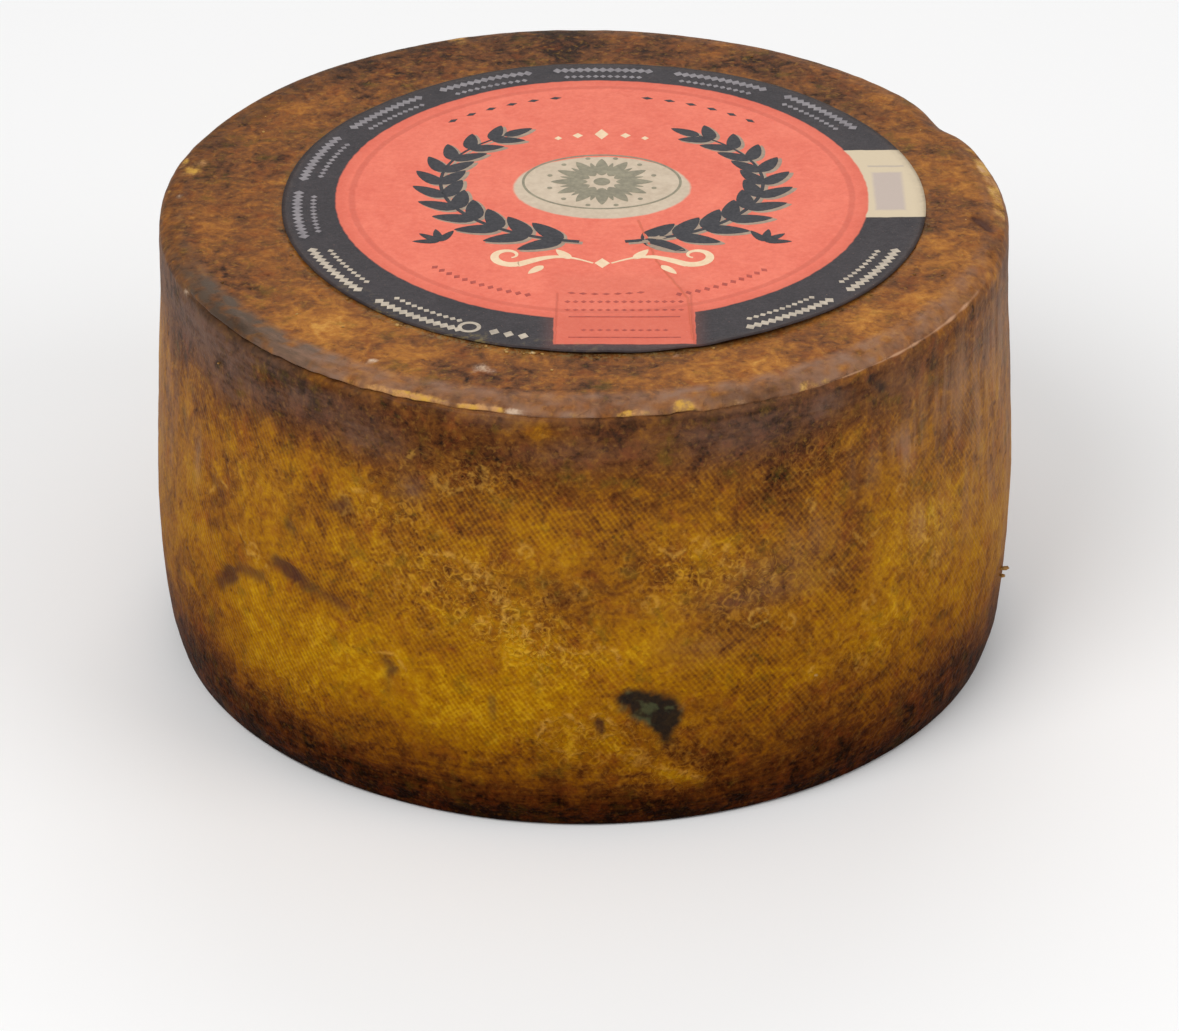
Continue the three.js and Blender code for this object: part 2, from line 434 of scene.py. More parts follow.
# Wrinkles that the cloth left, running round the wall: angle, height, reach, tall and depth
wrinkles = [
    (262, 17, 24, 8, 0.42), (252, 78, 6, 7, 0.16), (222, 14, 14, 7, 0.3), (300, 12, 14, 6, 0.3),
    (80, 18, 30, 9, 0.36), (140, 74, 12, 8, 0.14), (20, 22, 12, 8, 0.3),
]

# Cloudy warmth of the wall: angle, height, reach, tall and strength, below 0 where it is darker
warmClouds = [
    (232, 29, 15, 14, 0.5), (258, 30, 11, 11, 0.85), (268, 45, 5, 4, 0.6), (281, 57, 4, 6, 0.6),
    (262, 50, 6, 6, 0.2), (243, 77, 5, 4, 0.6), (252, 67, 5, 4, 0.5), (237, 64, 6, 5, 0.3),
    (320, 58, 6, 7, 0.8), (300.4, 33, 1.6, 2.2, 1.2), (216, 24, 9, 7, 0.15), (283, 12.5, 2.2, 2, 0.9),
    (288, 69, 4, 3, 0.5), (232, 80, 5, 3, 0.4), (297, 50, 3, 3, 0.6), (277, 47, 2, 3, 0.6),
    (246, 88, 4, 4, 0.35), (266, 78, 2, 3, 0.5), (257, 99, 5, 4, 0.3), (313, 42, 4, 8, 0.35),
    (335, 38, 4, 8, 0.3), (262, 14, 8, 4, 0.5), (278, 16, 4, 4, 0.4), (238, 15, 8, 4, 0.35),
    (208, 50, 4, 12, 0.3), (204, 97, 9, 10, -0.5), (223, 96, 12, 8, -0.7), (240, 94, 8, 8, -0.5),
    (249, 84, 2.6, 4, -0.5), (257, 91, 8, 6, -0.5), (293, 96, 10, 8, -0.8), (284, 101, 5, 3, -0.4),
    (272, 96, 6, 6, -0.4), (297, 80, 10, 8, -0.5), (268, 62, 8, 5, -0.5), (302, 26, 20, 12, -0.75),
    (330, 16, 18, 12, -0.7), (300, 46, 12, 7, -0.35), (324, 77, 8, 6, -0.4), (265, 25, 3, 3, -0.4),
    (281, 19, 7, 4, -0.5), (235, 9, 12, 5, -0.5), (204, 14, 12, 8, -0.45), (262, 3, 30, 4, -0.5),
    (290, 56, 4, 3, -0.3), (255, 42, 3, 6, -0.25), (226, 60, 3, 5, -0.25), (344, 52, 8, 26, -0.2),
    (199, 40, 8, 24, -0.25), (308, 64, 5, 5, -0.2), (206, 26, 10, 12, -0.6), (290, 55, 10, 9, -0.6),
    (266, 56, 9, 8, -0.55), (198, 84, 8, 12, -0.5), (234, 17, 12, 6, -0.35), (225, 96.4, 3, 1.8, 1.0),
    (234, 101, 3, 1.4, 0.8), (284, 58, 5, 5, -0.3), (298, 55, 11, 10, -0.3), (214, 24, 9, 9, -0.35),
    (264.5, 100, 3, 3, 0.6), (265, 86, 9, 6, -0.3),
]
# a dull dark film near the top, partly painted reflection, and a paler painted sheen at the sides
filmAndReflectionClouds = [
    (206, 98, 12, 9, 0.8), (226, 97, 13, 7, 0.8), (216, 88, 6, 4, 0.4), (242, 91, 5, 4, 0.6),
    (247.6, 81.5, 2, 3, 0.6), (290, 96, 12, 7, 0.6), (302.6, 97.5, 3, 3, 0.7), (268, 94, 7, 4, 0.35),
    (262, 101, 8, 2.5, 0.5), (296, 62, 7, 4, 0.35), (293, 56, 10, 3, 0.35), (285, 46, 6, 4, 0.25),
    (314, 96, 6, 6, 0.4), (225, 96.4, 3.4, 2, -0.8), (234, 101, 3, 1.4, -0.6), (264.5, 100, 3, 3, -0.4),
]
sheenClouds = [
    (326, 86, 9, 14, 0.65), (343, 80, 10, 22, 0.75), (350, 40, 8, 26, 0.55), (336, 60, 5, 12, 0.3),
    (192, 66, 9, 26, 0.5), (205, 74, 6, 12, 0.15), (317, 78, 1.8, 5, 0.8), (314.5, 82, 1.4, 3, 0.6),
    (318.6, 60, 2.4, 5, 0.4), (309, 80, 3, 6, 0.3), (208.6, 66, 1.0, 7, 0.6), (300, 68, 4, 5, 0.25),
    (197, 88, 5, 8, 0.1), (12, 80, 14, 14, 0.5), (170, 78, 14, 16, 0.5), (328, 56, 10, 12, 0.25),
]
# where little curled rims crowd the crust, as the clouds above
curlClouds = [
    (253, 60, 10, 10, 1.0), (262, 52, 6, 7, 0.9), (291, 60, 9, 9, 0.9), (281, 67, 5, 6, 0.7),
    (321, 56, 8, 9, 0.8), (272, 24, 12, 8, 0.8), (244, 76, 6, 6, 0.7), (266, 45, 6, 6, 0.8),
    (310, 36, 8, 8, 0.6), (228, 22, 10, 8, 0.5), (300, 86, 8, 6, 0.4), (222, 72, 8, 8, 0.4),
    (256, 86, 7, 5, 0.5), (281, 13, 6, 4, 0.8), (235, 40, 6, 6, 0.35), (40, 52, 14, 14, 0.7),
    (95, 60, 16, 12, 0.7), (140, 40, 14, 14, 0.7), (170, 60, 8, 10, 0.5), (5, 30, 8, 12, 0.6),
]

# Broken crust on the lip: from and to angle, how far it breaks in, how yellow, how white and how far up
chips = [
    (236.0, 241.6, 0.1, 0.35, 0.0, 0.5), (240.8, 247.0, 0.3, 0.85, 0.0, 0.7),
    (246.0, 252.6, 0.5, 1.0, 0.0, 0.8), (253.8, 259.8, 0.4, 0.95, 0.1, 0.7),
    (260.0, 262.8, 0.3, 0.2, 0.8, 0.6), (267.6, 270.6, 0.1, 0.45, 0.1, 0.4),
    (274.0, 278.6, 0.3, 0.85, 0.0, 0.5), (281.3, 284.6, 0.9, 0.8, 0.15, 2.2),
    (288.6, 291.4, 0.3, 0.5, 0.35, 0.5), (298.2, 300.8, -0.5, 0.75, 0.35, 1.5),
    (300.6, 304.5, -0.2, 0.7, 0.2, 0.7), (165.0, 168.6, 0.7, 0.8, 0.1, 1.6),
    (174.6, 177.6, 0.3, 0.5, 0.1, 1.2), (107.0, 111.5, 0.5, 0.7, 0.1, 1.2),
    (61.0, 64.0, 0.4, 0.6, 0.2, 0.9), (133.0, 136.0, 0.4, 0.5, 0.1, 1.0), (86.0, 88.0, 0.3, 0.5, 0.0, 0.9),
]
# a pale worn edge on the right rim with a painted highlight: angle, reach and strength
rubbedRimHighlight = [(13, 4, 1.0), (5, 3.5, 1.0), (-3, 3, 0.8)]
# dull grey-brown bands pressed into the bevel, partly painted reflection, in the same order
rimBands = [
    (212, 13, 1.8), (222, 5, 0.8), (230, 8, 1.5), (248, 13, 0.7), (268, 10, 0.8), (286, 9, 1.1),
    (306, 10, 1.0), (324, 12, 0.8),
]
# darker stretches next to the lip
rimShade = [(217, 7, 0.55), (288.5, 3.2, 0.5), (294, 3, 0.35), (253.3, 0.7, 0.6)]
# shade below the lip, by angle
underLip = [(200, 0), (207, 0.4), (233, 0.45), (243, 0.35), (262, 0.3), (284, 0.4), (296, 0.2), (303, 0)]
# pale spots high on the wall, as the clouds above
wallPale = [(204.2, 102.2, 1.2, 1.1, 0.6), (205.6, 99.6, 0.8, 1.6, 0.35)]

# Cloudy warmth of the top: x, y, reach and strength, below 0 where it is darker
topClouds = [
    (-57, -61, 12, 1.3), (-40, -74, 9, 0.5), (-66, -22, 10, 0.0), (26, -81, 9, 0.8), (40, -76, 8, 0.5),
    (58, -62, 12, 0.9), (82, 16, 8, 0.5), (84, -28, 10, 0.5), (70, 52, 6, 0.9), (-80, 14, 14, -0.5),
    (-58, 58, 9, 0.1), (13, 88, 4, 0.5), (-30, 72, 5, 0.3), (76, -46, 8, 0.5), (0, 86, 30, -1.1),
    (-36, 82, 18, -0.8), (-58, 66, 20, -0.35), (46, 72, 16, -1.0), (60, 47, 9, -0.8), (-84, -34, 9, -0.6),
    (2, -82, 14, -0.5), (-84, 34, 8, -0.4), (-20, -84, 8, -0.4), (88, 4, 4, -0.3), (86, -12, 3.5, -0.6),
]
# pale and yellow spots on the top, in the same order
topPale = [
    (-22.0, -77.6, 2.0, 0.7), (-19.6, -79.6, 1.6, 0.55), (-24.4, -80.0, 1.1, 0.35), (-44.8, -74.6, 1.1, 1.0),
    (19.4, -72.4, 0.9, 0.9), (-91.4, 3.4, 1.4, 0.5), (-88.4, -5, 1.6, 0.35), (-34, -87, 1.2, 0.4),
    (-64, 54, 1.6, 0.3),
]
# the yellow spot at 88.6, 28.4 on the right rim is a painted highlight
topYellow = [
    (-89.6, 16.4, 2.4, 1.0), (-87.6, 20.4, 2.0, 0.6), (-92.0, 5.4, 1.6, 0.45), (-91.4, -3, 1.3, 0.3),
    (88.6, 28.4, 2.0, 0.5), (16, 87.6, 2.2, 0.3), (-30.4, 87.4, 2.4, 0.8),
]
# small dents in the top: path, width and depth
topDents = [
    ([(87.8, -8.0), (90.4, -12.4)], 1.25, 0.65), ([(28, 83), (34, 80.5)], 0.9, 0.25),
    ([(-70, -46), (-76, -40)], 1.0, 0.2), ([(-79, 42), (-74, 48)], 1.0, 0.25),
]


def wornBy(angle):
    return sum(depth * hump(angle, centre, reach) for centre, reach, depth in wheelForm["notches"])


def lipDrop(angle):
    drop = wheelForm["drop"]
    t = math.radians(angle)
    mean = (drop["front"] + drop["back"] + drop["left"] + drop["right"]) / 4
    across = (drop["right"] - drop["left"]) / 2
    along = (drop["back"] - drop["front"]) / 2
    twice = (drop["right"] + drop["left"] - drop["front"] - drop["back"]) / 4
    return mean + across * math.cos(t) + along * math.sin(t) + twice * math.cos(2 * t)


def chipAt(angle):
    # how deep the crust is broken at this angle, how yellow and how white, and how far up the bevel
    deep = yellow = white = tall = 0.0
    for start, end, depth, gold, pale, up in chips:
        inside = min(turnBetween(angle, start), -turnBetween(angle, end))
        if inside > -1.5:
            share = rise(inside, -0.9, 0.9)
            deep += depth * share
            yellow = max(yellow, gold * share)
            white = max(white, pale * share)
            tall = max(tall, up * share)
    return deep, yellow, white, tall


def rimAt(angle):
    form = wheelForm
    t = math.radians(angle)
    x, y = 95 * math.cos(t), 95 * math.sin(t)
    turned = (angle - 180) % 360 + 180
    worn = wornBy(angle)
    broken, yellow, white, chipTall = chipAt(angle)
    share = curveThrough(form["lipShare"], turned)
    ragged = 0.3 * grain(x, y, 0, 9) + 0.25 * grain(x, y, 5, 3.2) + 0.2 * grain(x, y, 9, 1.6)
    gape = hump(angle, *form["gape"])
    crack = max(curveThrough(form["crackDepth"], turned), 0) * (0.75 + 0.8 * grain(x, y, 14, 5))
    return {
        "share": share,
        "gape": gape,
        "chipTall": chipTall,
        "under": max(curveThrough(underLip, turned), 0),
        "depth": crack + 0.3 * gape,
        "lip": form["lipRadius"] + 0.6 * ragged - 0.55 * broken,
        "height": form["flatTop"] - lipDrop(angle) - worn + ragged * share + 0.25 * abs(broken),
        "start": form["bevelRadius"] - form["wornInward"] * worn,
        "worn": worn,
        "yellow": yellow,
        "white": white,
        "ridgeAndHighlight": rise(turned, *form["ridgeAndHighlight"]["from"]) * (1 - rise(turned, *form["ridgeAndHighlight"]["to"])),
    }


def wheelSection(rim):
    # one upright section from the base centre to the top centre, as (radius, height, kind)
    form = wheelForm
    section = [(0, 0, "base"), (34, 0, "base"), (66, 0, "base"), (86, 0, "base"), (91.5, 0, "base")]
    footCentre = form["footRadius"] - form["footRound"]
    for part in (0, 30, 60):
        turn = math.radians(part)
        section.append((footCentre + form["footRound"] * math.sin(turn), 1.5 * (1 - math.cos(turn)), "foot"))
    crackHeight = form["crackHeight"] + 0.5 * rim["gape"]
    lipHeight = rim["height"]
    wallTop = lipHeight - crackHeight - 1.1
    recess = 0.15 + 0.45 * rim["gape"]
    for row in range(form["wallRows"] + 1):
        height = mix(1.5, wallTop, row / form["wallRows"])
        radius = curveThrough(form["wall"], height) - recess * rise(height, wallTop - 3, wallTop)
        section.append((radius, height, "wall"))
    # over the shoulder into the crack and out again under the lip, then the bevel, a quarter ellipse
    lip = rim["lip"]
    floor = lip + 0.4 - rim["depth"]
    shoulder = form["shoulderRadius"] - recess
    opened = [
        (mix(floor, shoulder, 0.8), lipHeight - crackHeight - 0.5),
        (mix(floor, shoulder, 0.45), lipHeight - crackHeight - 0.12),
        (floor, lipHeight - crackHeight),
        (floor, lipHeight - crackHeight * 0.6),
        (mix(floor, lip, 0.6), lipHeight - crackHeight * 0.4),
        (lip - 0.12, lipHeight - crackHeight * 0.28),
    ]
    start = rim["start"]
    for part in (90, 84, 77, 69, 60, 50, 39, 27, 14):
        turn = math.radians(part)
        opened.append((start + (lip - start) * math.sin(turn),
                       lipHeight + (form["flatTop"] - lipHeight) * math.cos(turn)))
    # where there is no lip, one plain rounded corner takes the same rows
    for i, (radius, height) in enumerate(opened):
        turn = math.radians((i + 1) / (len(opened) + 0.6) * 90)
        closed = (start + (form["cornerRadius"] - start) * math.cos(turn) ** 0.9,
                  wallTop + (form["flatTop"] - wallTop) * math.sin(turn) ** 0.9)
        kind = "crack" if i < 5 else "bevel"
        section.append((mix(closed[0], radius, rim["share"]), mix(closed[1], height, rim["share"]), kind))
    flatRows = 21
    for row in range(flatRows + 1):
        section.append((mix(start - 0.8, form["underLabel"], row / flatRows), form["flatTop"], "top"))
    section += [(48, form["flatTop"], "top"), (24, form["flatTop"], "top"), (0, form["flatTop"], "top")]
    return section


def awayFromLine(x, y, start, end):
    # distance to a straight stretch, below 0 on its right
    runX, runY = end[0] - start[0], end[1] - start[1]
    offX, offY = x - start[0], y - start[1]
    share = min(max((offX * runX + offY * runY) / (runX ** 2 + runY ** 2), 0), 1)
    away = math.hypot(offX - share * runX, offY - share * runY)
    return away if runX * offY - runY * offX > 0 else -away


def awayFromPath(x, y, path):
    return min(abs(awayFromLine(x, y, start, end)) for start, end in zip(path, path[1:]))


def spotAt(x, y, cx, cy, reach):
    return math.exp(-((x - cx) ** 2 + (y - cy) ** 2) / reach ** 2)


def unrolled(path):
    # (angle, height) points as millimetres on the unrolled wall, from its front
    return [(turnBetween(angle, 270) * perDegree, height) for angle, height in path]


def cloudsAt(clouds, angle, height):
    found = 0.0
    for centre, level, reach, tall, strength in clouds:
        if abs(turnBetween(angle, centre)) < 2.4 * reach and abs(height - level) < 2.4 * tall:
            found += strength * hump(angle, centre, reach) * math.exp(-((height - level) / tall) ** 2)
    return found


def scatterBack(count, seed, strength):
    # clouds for the side that the front doesn't show, of the same sizes
    dice = random.Random(seed)
    found = []
    for _ in range(count):
        angle, height = dice.uniform(-14, 194), dice.uniform(14, 86)
        reach, tall = dice.uniform(4, 12), dice.uniform(4, 11)
        found.append((angle, height, reach, tall, strength * dice.uniform(0.4, 1)))
    return found


backWarm = scatterBack(16, 5, 0.8) + scatterBack(14, 17, -0.7)
backStains = [
    {"path": [(132, 41), (136, 39.4), (138, 36)], "width": 2.2, "depth": 0.5, "stain": 0.8},
    {"path": [(58, 60), (62, 62.4), (67, 61)], "width": 1.5, "depth": 0.4, "smudge": 0.9},
    {"path": [(94, 24), (98, 27), (103, 26.4)], "width": 1.6, "depth": 0.4, "smudge": 0.8},
    {"path": [(166, 68), (170, 65.6)], "width": 1.5, "depth": 0.3, "smudge": 0.7},
    {"path": [(24, 34), (26.4, 30)], "width": 1.5, "depth": 0.4, "smudge": 0.8},
]
for stroke in wallStrokes + backStains:
    stroke["laid"] = unrolled(stroke["path"])


def layFolds():
    # folds and rings as paths on the unrolled wall, with their middle and reach
    found = [(strength, unrolled(path)) for strength, path in paleFolds]
    turns = [math.tau * k / 12 for k in range(13)]
    for angle, height, radius, strength in ringSpots:
        middle = turnBetween(angle, 270) * perDegree
        path = [(middle + radius * math.cos(t), height + radius * math.sin(t)) for t in turns]
        found.append((strength, path))
    laid = []
    for strength, path in found:
        middleX = sum(x for x, _ in path) / len(path)
        middleY = sum(y for _, y in path) / len(path)
        reach = 4 + max(math.hypot(x - middleX, y - middleY) for x, y in path)
        laid.append((strength, path, middleX, middleY, reach))
    return laid


laidFolds = layFolds()


def besideFold(x, y):
    # signed distance to the nearest fold, and how strong that fold is here
    best, strength = 3.0, 0.0
    for force, path, middleX, middleY, reach in laidFolds:
        if abs(x - middleX) > reach or abs(y - middleY) > reach:
            continue
        for start, end in zip(path, path[1:]):
            away = awayFromLine(x, y, start, end)
            if abs(away) < abs(best):
                best, strength = away, force
    return best, strength * math.exp(-(best / 1.6) ** 2)


def paintWall(angle, x, y, height, kind, rim, paint):
    # relief of the wall along its outward direction, and the masks that go with it
    push = 0.26 * grain(x, y, height, 27) + 0.12 * grain(x, y, height, 9, 3)
    push += 0.08 * grain(x, y, height, 3.2, 7)
    for centre, level, reach, tall, depth in wrinkles:
        near = hump(angle, centre, reach) * math.exp(-((height - level) / tall) ** 2)
        if near > 0.02:
            fold = near * (grain(x / 7, y / 7, height, 1.5, 11) + 0.3 * grain(x, y, height, 6, 13))
            push += depth * fold
            paint["warmth"] += 1.4 * depth * fold
    around = turnBetween(angle, 270) * perDegree
    for stroke in wallStrokes + backStains:
        first = stroke["laid"][0]
        if kind != "wall" or abs(around - first[0]) > 36 or abs(height - first[1]) > 26:
            continue
        uneven = grain(x, y, height, 3.4, 19) + 0.6 * grain(x, y, height, 1.4, 29)
        away = awayFromPath(around, height, stroke["laid"]) + 0.8 * stroke["width"] ** 0.5 * uneven
        near = math.exp(-(max(away, 0) / stroke["width"]) ** 2)
        push -= stroke["depth"] * near
        paint["stain"] += stroke.get("stain", 0) * near
        paint["smudge"] += stroke.get("smudge", 0) * near
        paint["warmth"] += stroke.get("warmth", 0) * near
    paint["foldSide"], paint["foldNear"] = besideFold(around, height)
    push += 0.12 * paint["foldNear"]
    paint["warmth"] += cloudsAt(warmClouds, angle, height) + cloudsAt(backWarm, angle, height)
    paint["film"] += cloudsAt(filmAndReflectionClouds, angle, height)
    # partly painted reflection: a grey film high on the wall, growing away from the front
    paint["film"] += 0.45 * rise(height, 84, 101) * rise(abs(turnBetween(angle, 270)), 60, 100)
    # painted sheen at the sides of the wall
    paint["paintedSheen"] += cloudsAt(sheenClouds, angle, height)
    paint["curls"] += cloudsAt(curlClouds, angle, height)
    paint["white"] += cloudsAt(wallPale, angle, height) * (0.8 + 0.8 * grain(x, y, height, 2, 61))
    if rim["under"] > 0:
        below = rim["height"] - height + 0.9 * grain(x, y, height, 3, 67)
        reach = 1.2 + 0.5 * rim["gape"]
        paint["shade"] += rim["under"] * (1 - rise(below, reach, 2.4 * reach))
    return push


def paintBevel(angle, x, y, radius, rim, paint):
    push = 0.12 * grain(x, y, 0, 20) + 0.09 * grain(x, y, 0, 4, 3) + 0.05 * grain(x, y, 0, 1.8, 13)
    fromLip = rim["lip"] - radius + 0.5 * grain(x, y, 0, 1.7, 71)
    edge = 1 - rise(fromLip, 0.5 * rim["chipTall"], 0.25 + rim["chipTall"])
    patchy = 0.8 + 0.9 * grain(x, y, radius * 1.4, 3.6, 43) + 0.5 * grain(x, y, radius, 1.6, 47)
    # the bevel's grey film is partly painted reflection
    paint["film"] += 0.25 * rise(radius, 88.6, 91) * patchy
    for centre, reach, strength in rimBands:
        paint["film"] += 0.6 * strength * hump(angle, centre, reach) * rise(radius, 88.4, 90.6) * patchy
    for centre, reach, strength in rimShade:
        near = hump(angle, centre, reach) * rise(radius, 91.5, 94)
        paint["shade"] += strength * near * (0.9 + grain(x, y, 0, 3, 97))
    broken = 0.85 + 0.9 * grain(x, y, 0, 1.9, 73)
    paint["chip"] += 1.05 * rim["yellow"] * edge * broken
    paint["white"] += rim["white"] * edge * broken
    # painted highlight with worn crust on the right rim
    for centre, reach, strength in rubbedRimHighlight:
        rimGlint = hump(angle, centre, reach) * rise(radius, 90.6, 92.8) * (0.85 + grain(x, y, 0, 4, 37))
        paint["chip"] += strength * rimGlint
        paint["white"] += 0.45 * strength * rimGlint
    paint["warmth"] += -0.35 * rim["worn"] / 3 - 0.1 * rise(radius, 90, 93) * rim["share"]
    paint["warmth"] += 0.5 * grain(x, y, radius * 2, 3, 79) * rise(radius, 88, 91)
    return push


def paintTop(x, y, radius, kind, paint):
    quiet = rise(math.hypot(x - 4.3, y), 70.5, 76)  # flat under the label
    push = quiet * (0.13 * grain(x, y, 3, 22) + 0.08 * grain(x, y, 3, 7, 5) + 0.06 * grain(x, y, 3, 2.6, 9))
    push = push if kind == "top" else 0.0
    for path, width, depth in topDents:
        near = math.exp(-(awayFromPath(x, y, path) / width) ** 2)
        push -= depth * near
        paint["smudge"] += 2.2 * depth * near
    for cx, cy, reach, strength in topYellow:
        paint["chip"] += strength * spotAt(x, y, cx, cy, reach) * (0.9 + grain(x, y, 0, 2, 83))
    fromLabel = math.hypot(x - labelMiddle[0], y - labelMiddle[1]) - labelReach
    turned = math.degrees(math.atan2(y, x)) % 360
    dusty = (1 - rise(fromLabel, 0.2, 2.6)) * rise(fromLabel, -2, 0) * (0.35 + 0.65 * hump(turned, 258, 34))
    paint["dust"] += dusty * (0.7 + 1.1 * grain(x, y, 0, 2.4, 89))
    for cx, cy, reach, strength in topClouds:
        paint["warmth"] += strength * spotAt(x, y, cx, cy, reach)
    for cx, cy, reach, strength in topPale:
        near = strength * spotAt(x, y, cx, cy, reach)
        paint["white"] += near * (0.9 + grain(x, y, 0, 2, 53))
        push += 0.15 * near
    # the back left rim is darker, and the label's raised edge throws a little shade
    paint["shade"] += 0.42 * rise(radius, 84.6, 87.6) * hump(turned, 142, 30) * (0.9 + grain(x, y, 0, 6, 101))
    paint["shade"] += 0.6 * (1 - rise(fromLabel, 0.3, 2.0)) * rise(fromLabel, -2, 0) * hump(turned, 296, 9)
    return push


def makeWheelMesh():
    form = wheelForm
    columns = form["columns"]
    rims = [rimAt(column * 360 / columns) for column in range(columns)]
    sections = [wheelSection(rim) for rim in rims]
    bm = bmesh.new()
    rowLayer = bm.verts.layers.int.new("row")
    profile = [bm.verts.new((radius, 0, height)) for radius, height, _ in sections[0]]
    for row, vert in enumerate(profile):
        vert[rowLayer] = row
    spinProfile(bm, profile, columns)

    kinds = ("warmth", "film", "paintedSheen", "curls", "chip", "white", "ridgeAndHighlight", "stain", "smudge", "shade", "dust",
             "foldSide", "foldNear")
    masks = {name: [] for name in kinds}
    lipRow = 8 + form["wallRows"] + 6  # after the base, the foot and the wall
    for vert in bm.verts:
        row = vert[rowLayer]
        atPole = vert.co.to_2d().length < 0.01
        angle = 0.0 if atPole else math.degrees(math.atan2(vert.co.y, vert.co.x)) % 360
        column = round(angle * columns / 360) % columns
        rim, section = rims[column], sections[column]
        radius, height, kind = section[row]
        t = math.radians(angle)
        x, y = radius * math.cos(t), radius * math.sin(t)
        paint = dict.fromkeys(masks, 0.0)
        push = 0.0  # along the section's own outward direction
        if kind in ("wall", "foot", "crack"):
            push += paintWall(angle, x, y, height, kind, rim, paint)
        if kind == "bevel":
            push += paintBevel(angle, x, y, radius, rim, paint)
        # the lip's ridge: a little relief, and a painted highlight along it
        if abs(row - lipRow) < 2:
            push += 0.25 * rim["ridgeAndHighlight"]
            pale = (0.85 - 0.35 * abs(row - lipRow)) * rim["ridgeAndHighlight"]
            paint["ridgeAndHighlight"] += pale * (0.85 + 0.7 * grain(x, y, 0, 3, 59))
        if kind in ("top", "bevel"):
            push += paintTop(x, y, radius, kind, paint)
        before = section[max(row - 1, 0)]
        after = section[min(row + 1, len(section) - 1)]
        run = Vector((after[0] - before[0], after[1] - before[1]))
        outward = Vector((run.y, -run.x)).normalized() if kind != "base" else Vector((0, 0))
        if kind == "foot":
            outward.y = max(outward.y, 0)
            push = push * rise(height, 0, 1.5)
        radius += push * outward.x
        height += push * outward.y
        vert.co = (radius * math.cos(t), radius * math.sin(t), height)
        for name, value in paint.items():
            masks[name].append(value)
    return bm, masks


def fitToBox(bm, low, high):
    # keeps the outline of the finished mesh on that of its solid
    for axis in (0, 1):
        lowest = min(v.co[axis] for v in bm.verts)
        highest = max(v.co[axis] for v in bm.verts)
        size = (high[axis] - low[axis]) / mm / (highest - lowest)
        shift = (high[axis] + low[axis]) / 2 / mm - size * (highest + lowest) / 2
        for vert in bm.verts:
            vert.co[axis] = size * vert.co[axis] + shift


rindLook = {
    "specular": 0.012,
    "coatRoughness": 0.36,
    "relief": 0.5,
    # colours by how warm the crust is, on the wall and on the top
    "wall": [(0.0, colour(34, 15, 4)), (0.16, colour(76, 38, 10)), (0.34, colour(108, 62, 18)),
             (0.54, colour(146, 92, 14)), (0.76, colour(174, 120, 8)), (1.0, colour(206, 156, 18))],
    "top": [(0.0, colour(44, 24, 12)), (0.14, colour(82, 48, 25)), (0.28, colour(110, 67, 35)),
            (0.46, colour(138, 84, 37)), (0.72, colour(176, 114, 46)), (1.0, colour(206, 150, 70))],
    "topWarmth": 0.395,
    # by height, as shares of the whole: how warm the wall is, and how much light reaches it
    "wallWarmth": [(0.0, 0.06), (0.04, 0.16), (0.1, 0.27), (0.16, 0.43), (0.24, 0.59), (0.36, 0.63),
                   (0.5, 0.56), (0.64, 0.49), (0.76, 0.43), (0.86, 0.3), (0.94, 0.24), (1.0, 0.28)],
    "light": [(0.0, 0.04), (0.06, 0.24), (0.16, 0.5), (0.3, 0.74), (0.5, 0.94), (1.0, 1.0)],
    "footShade": (0.34, 0.19, 0.09, 1),
    "reddish": colour(140, 70, 24),
    "greenish": colour(96, 80, 22),
    # film colours: a dull grey film that is partly painted reflection
    "film": colour(104, 80, 68),
    "filmReflectionPale": colour(141, 107, 86),
    "filmReflectionDark": colour(88, 72, 59),
    # the paler painted sheen at the sides
    "paintedSheen": colour(168, 130, 100),
    "chip": colour(198, 146, 92),
    "chipYellow": colour(208, 160, 70),
    # the painted highlight on the lip's ridge
    "ridgeAndHighlight": colour(196, 150, 116),
    "white": colour(212, 186, 160),
    "fold": colour(206, 152, 62),
    "shade": colour(36, 24, 16),
    "dust": colour(132, 118, 80),
    "stain": colour(28, 30, 30),
    "stainGreen": colour(66, 74, 54),
    "smudge": colour(76, 46, 36),
    "hatchRepeats": 472,  # slanting cloth threads round the wheel
    "hatchRise": 1.92,  # millimetres up from one thread to the next
}


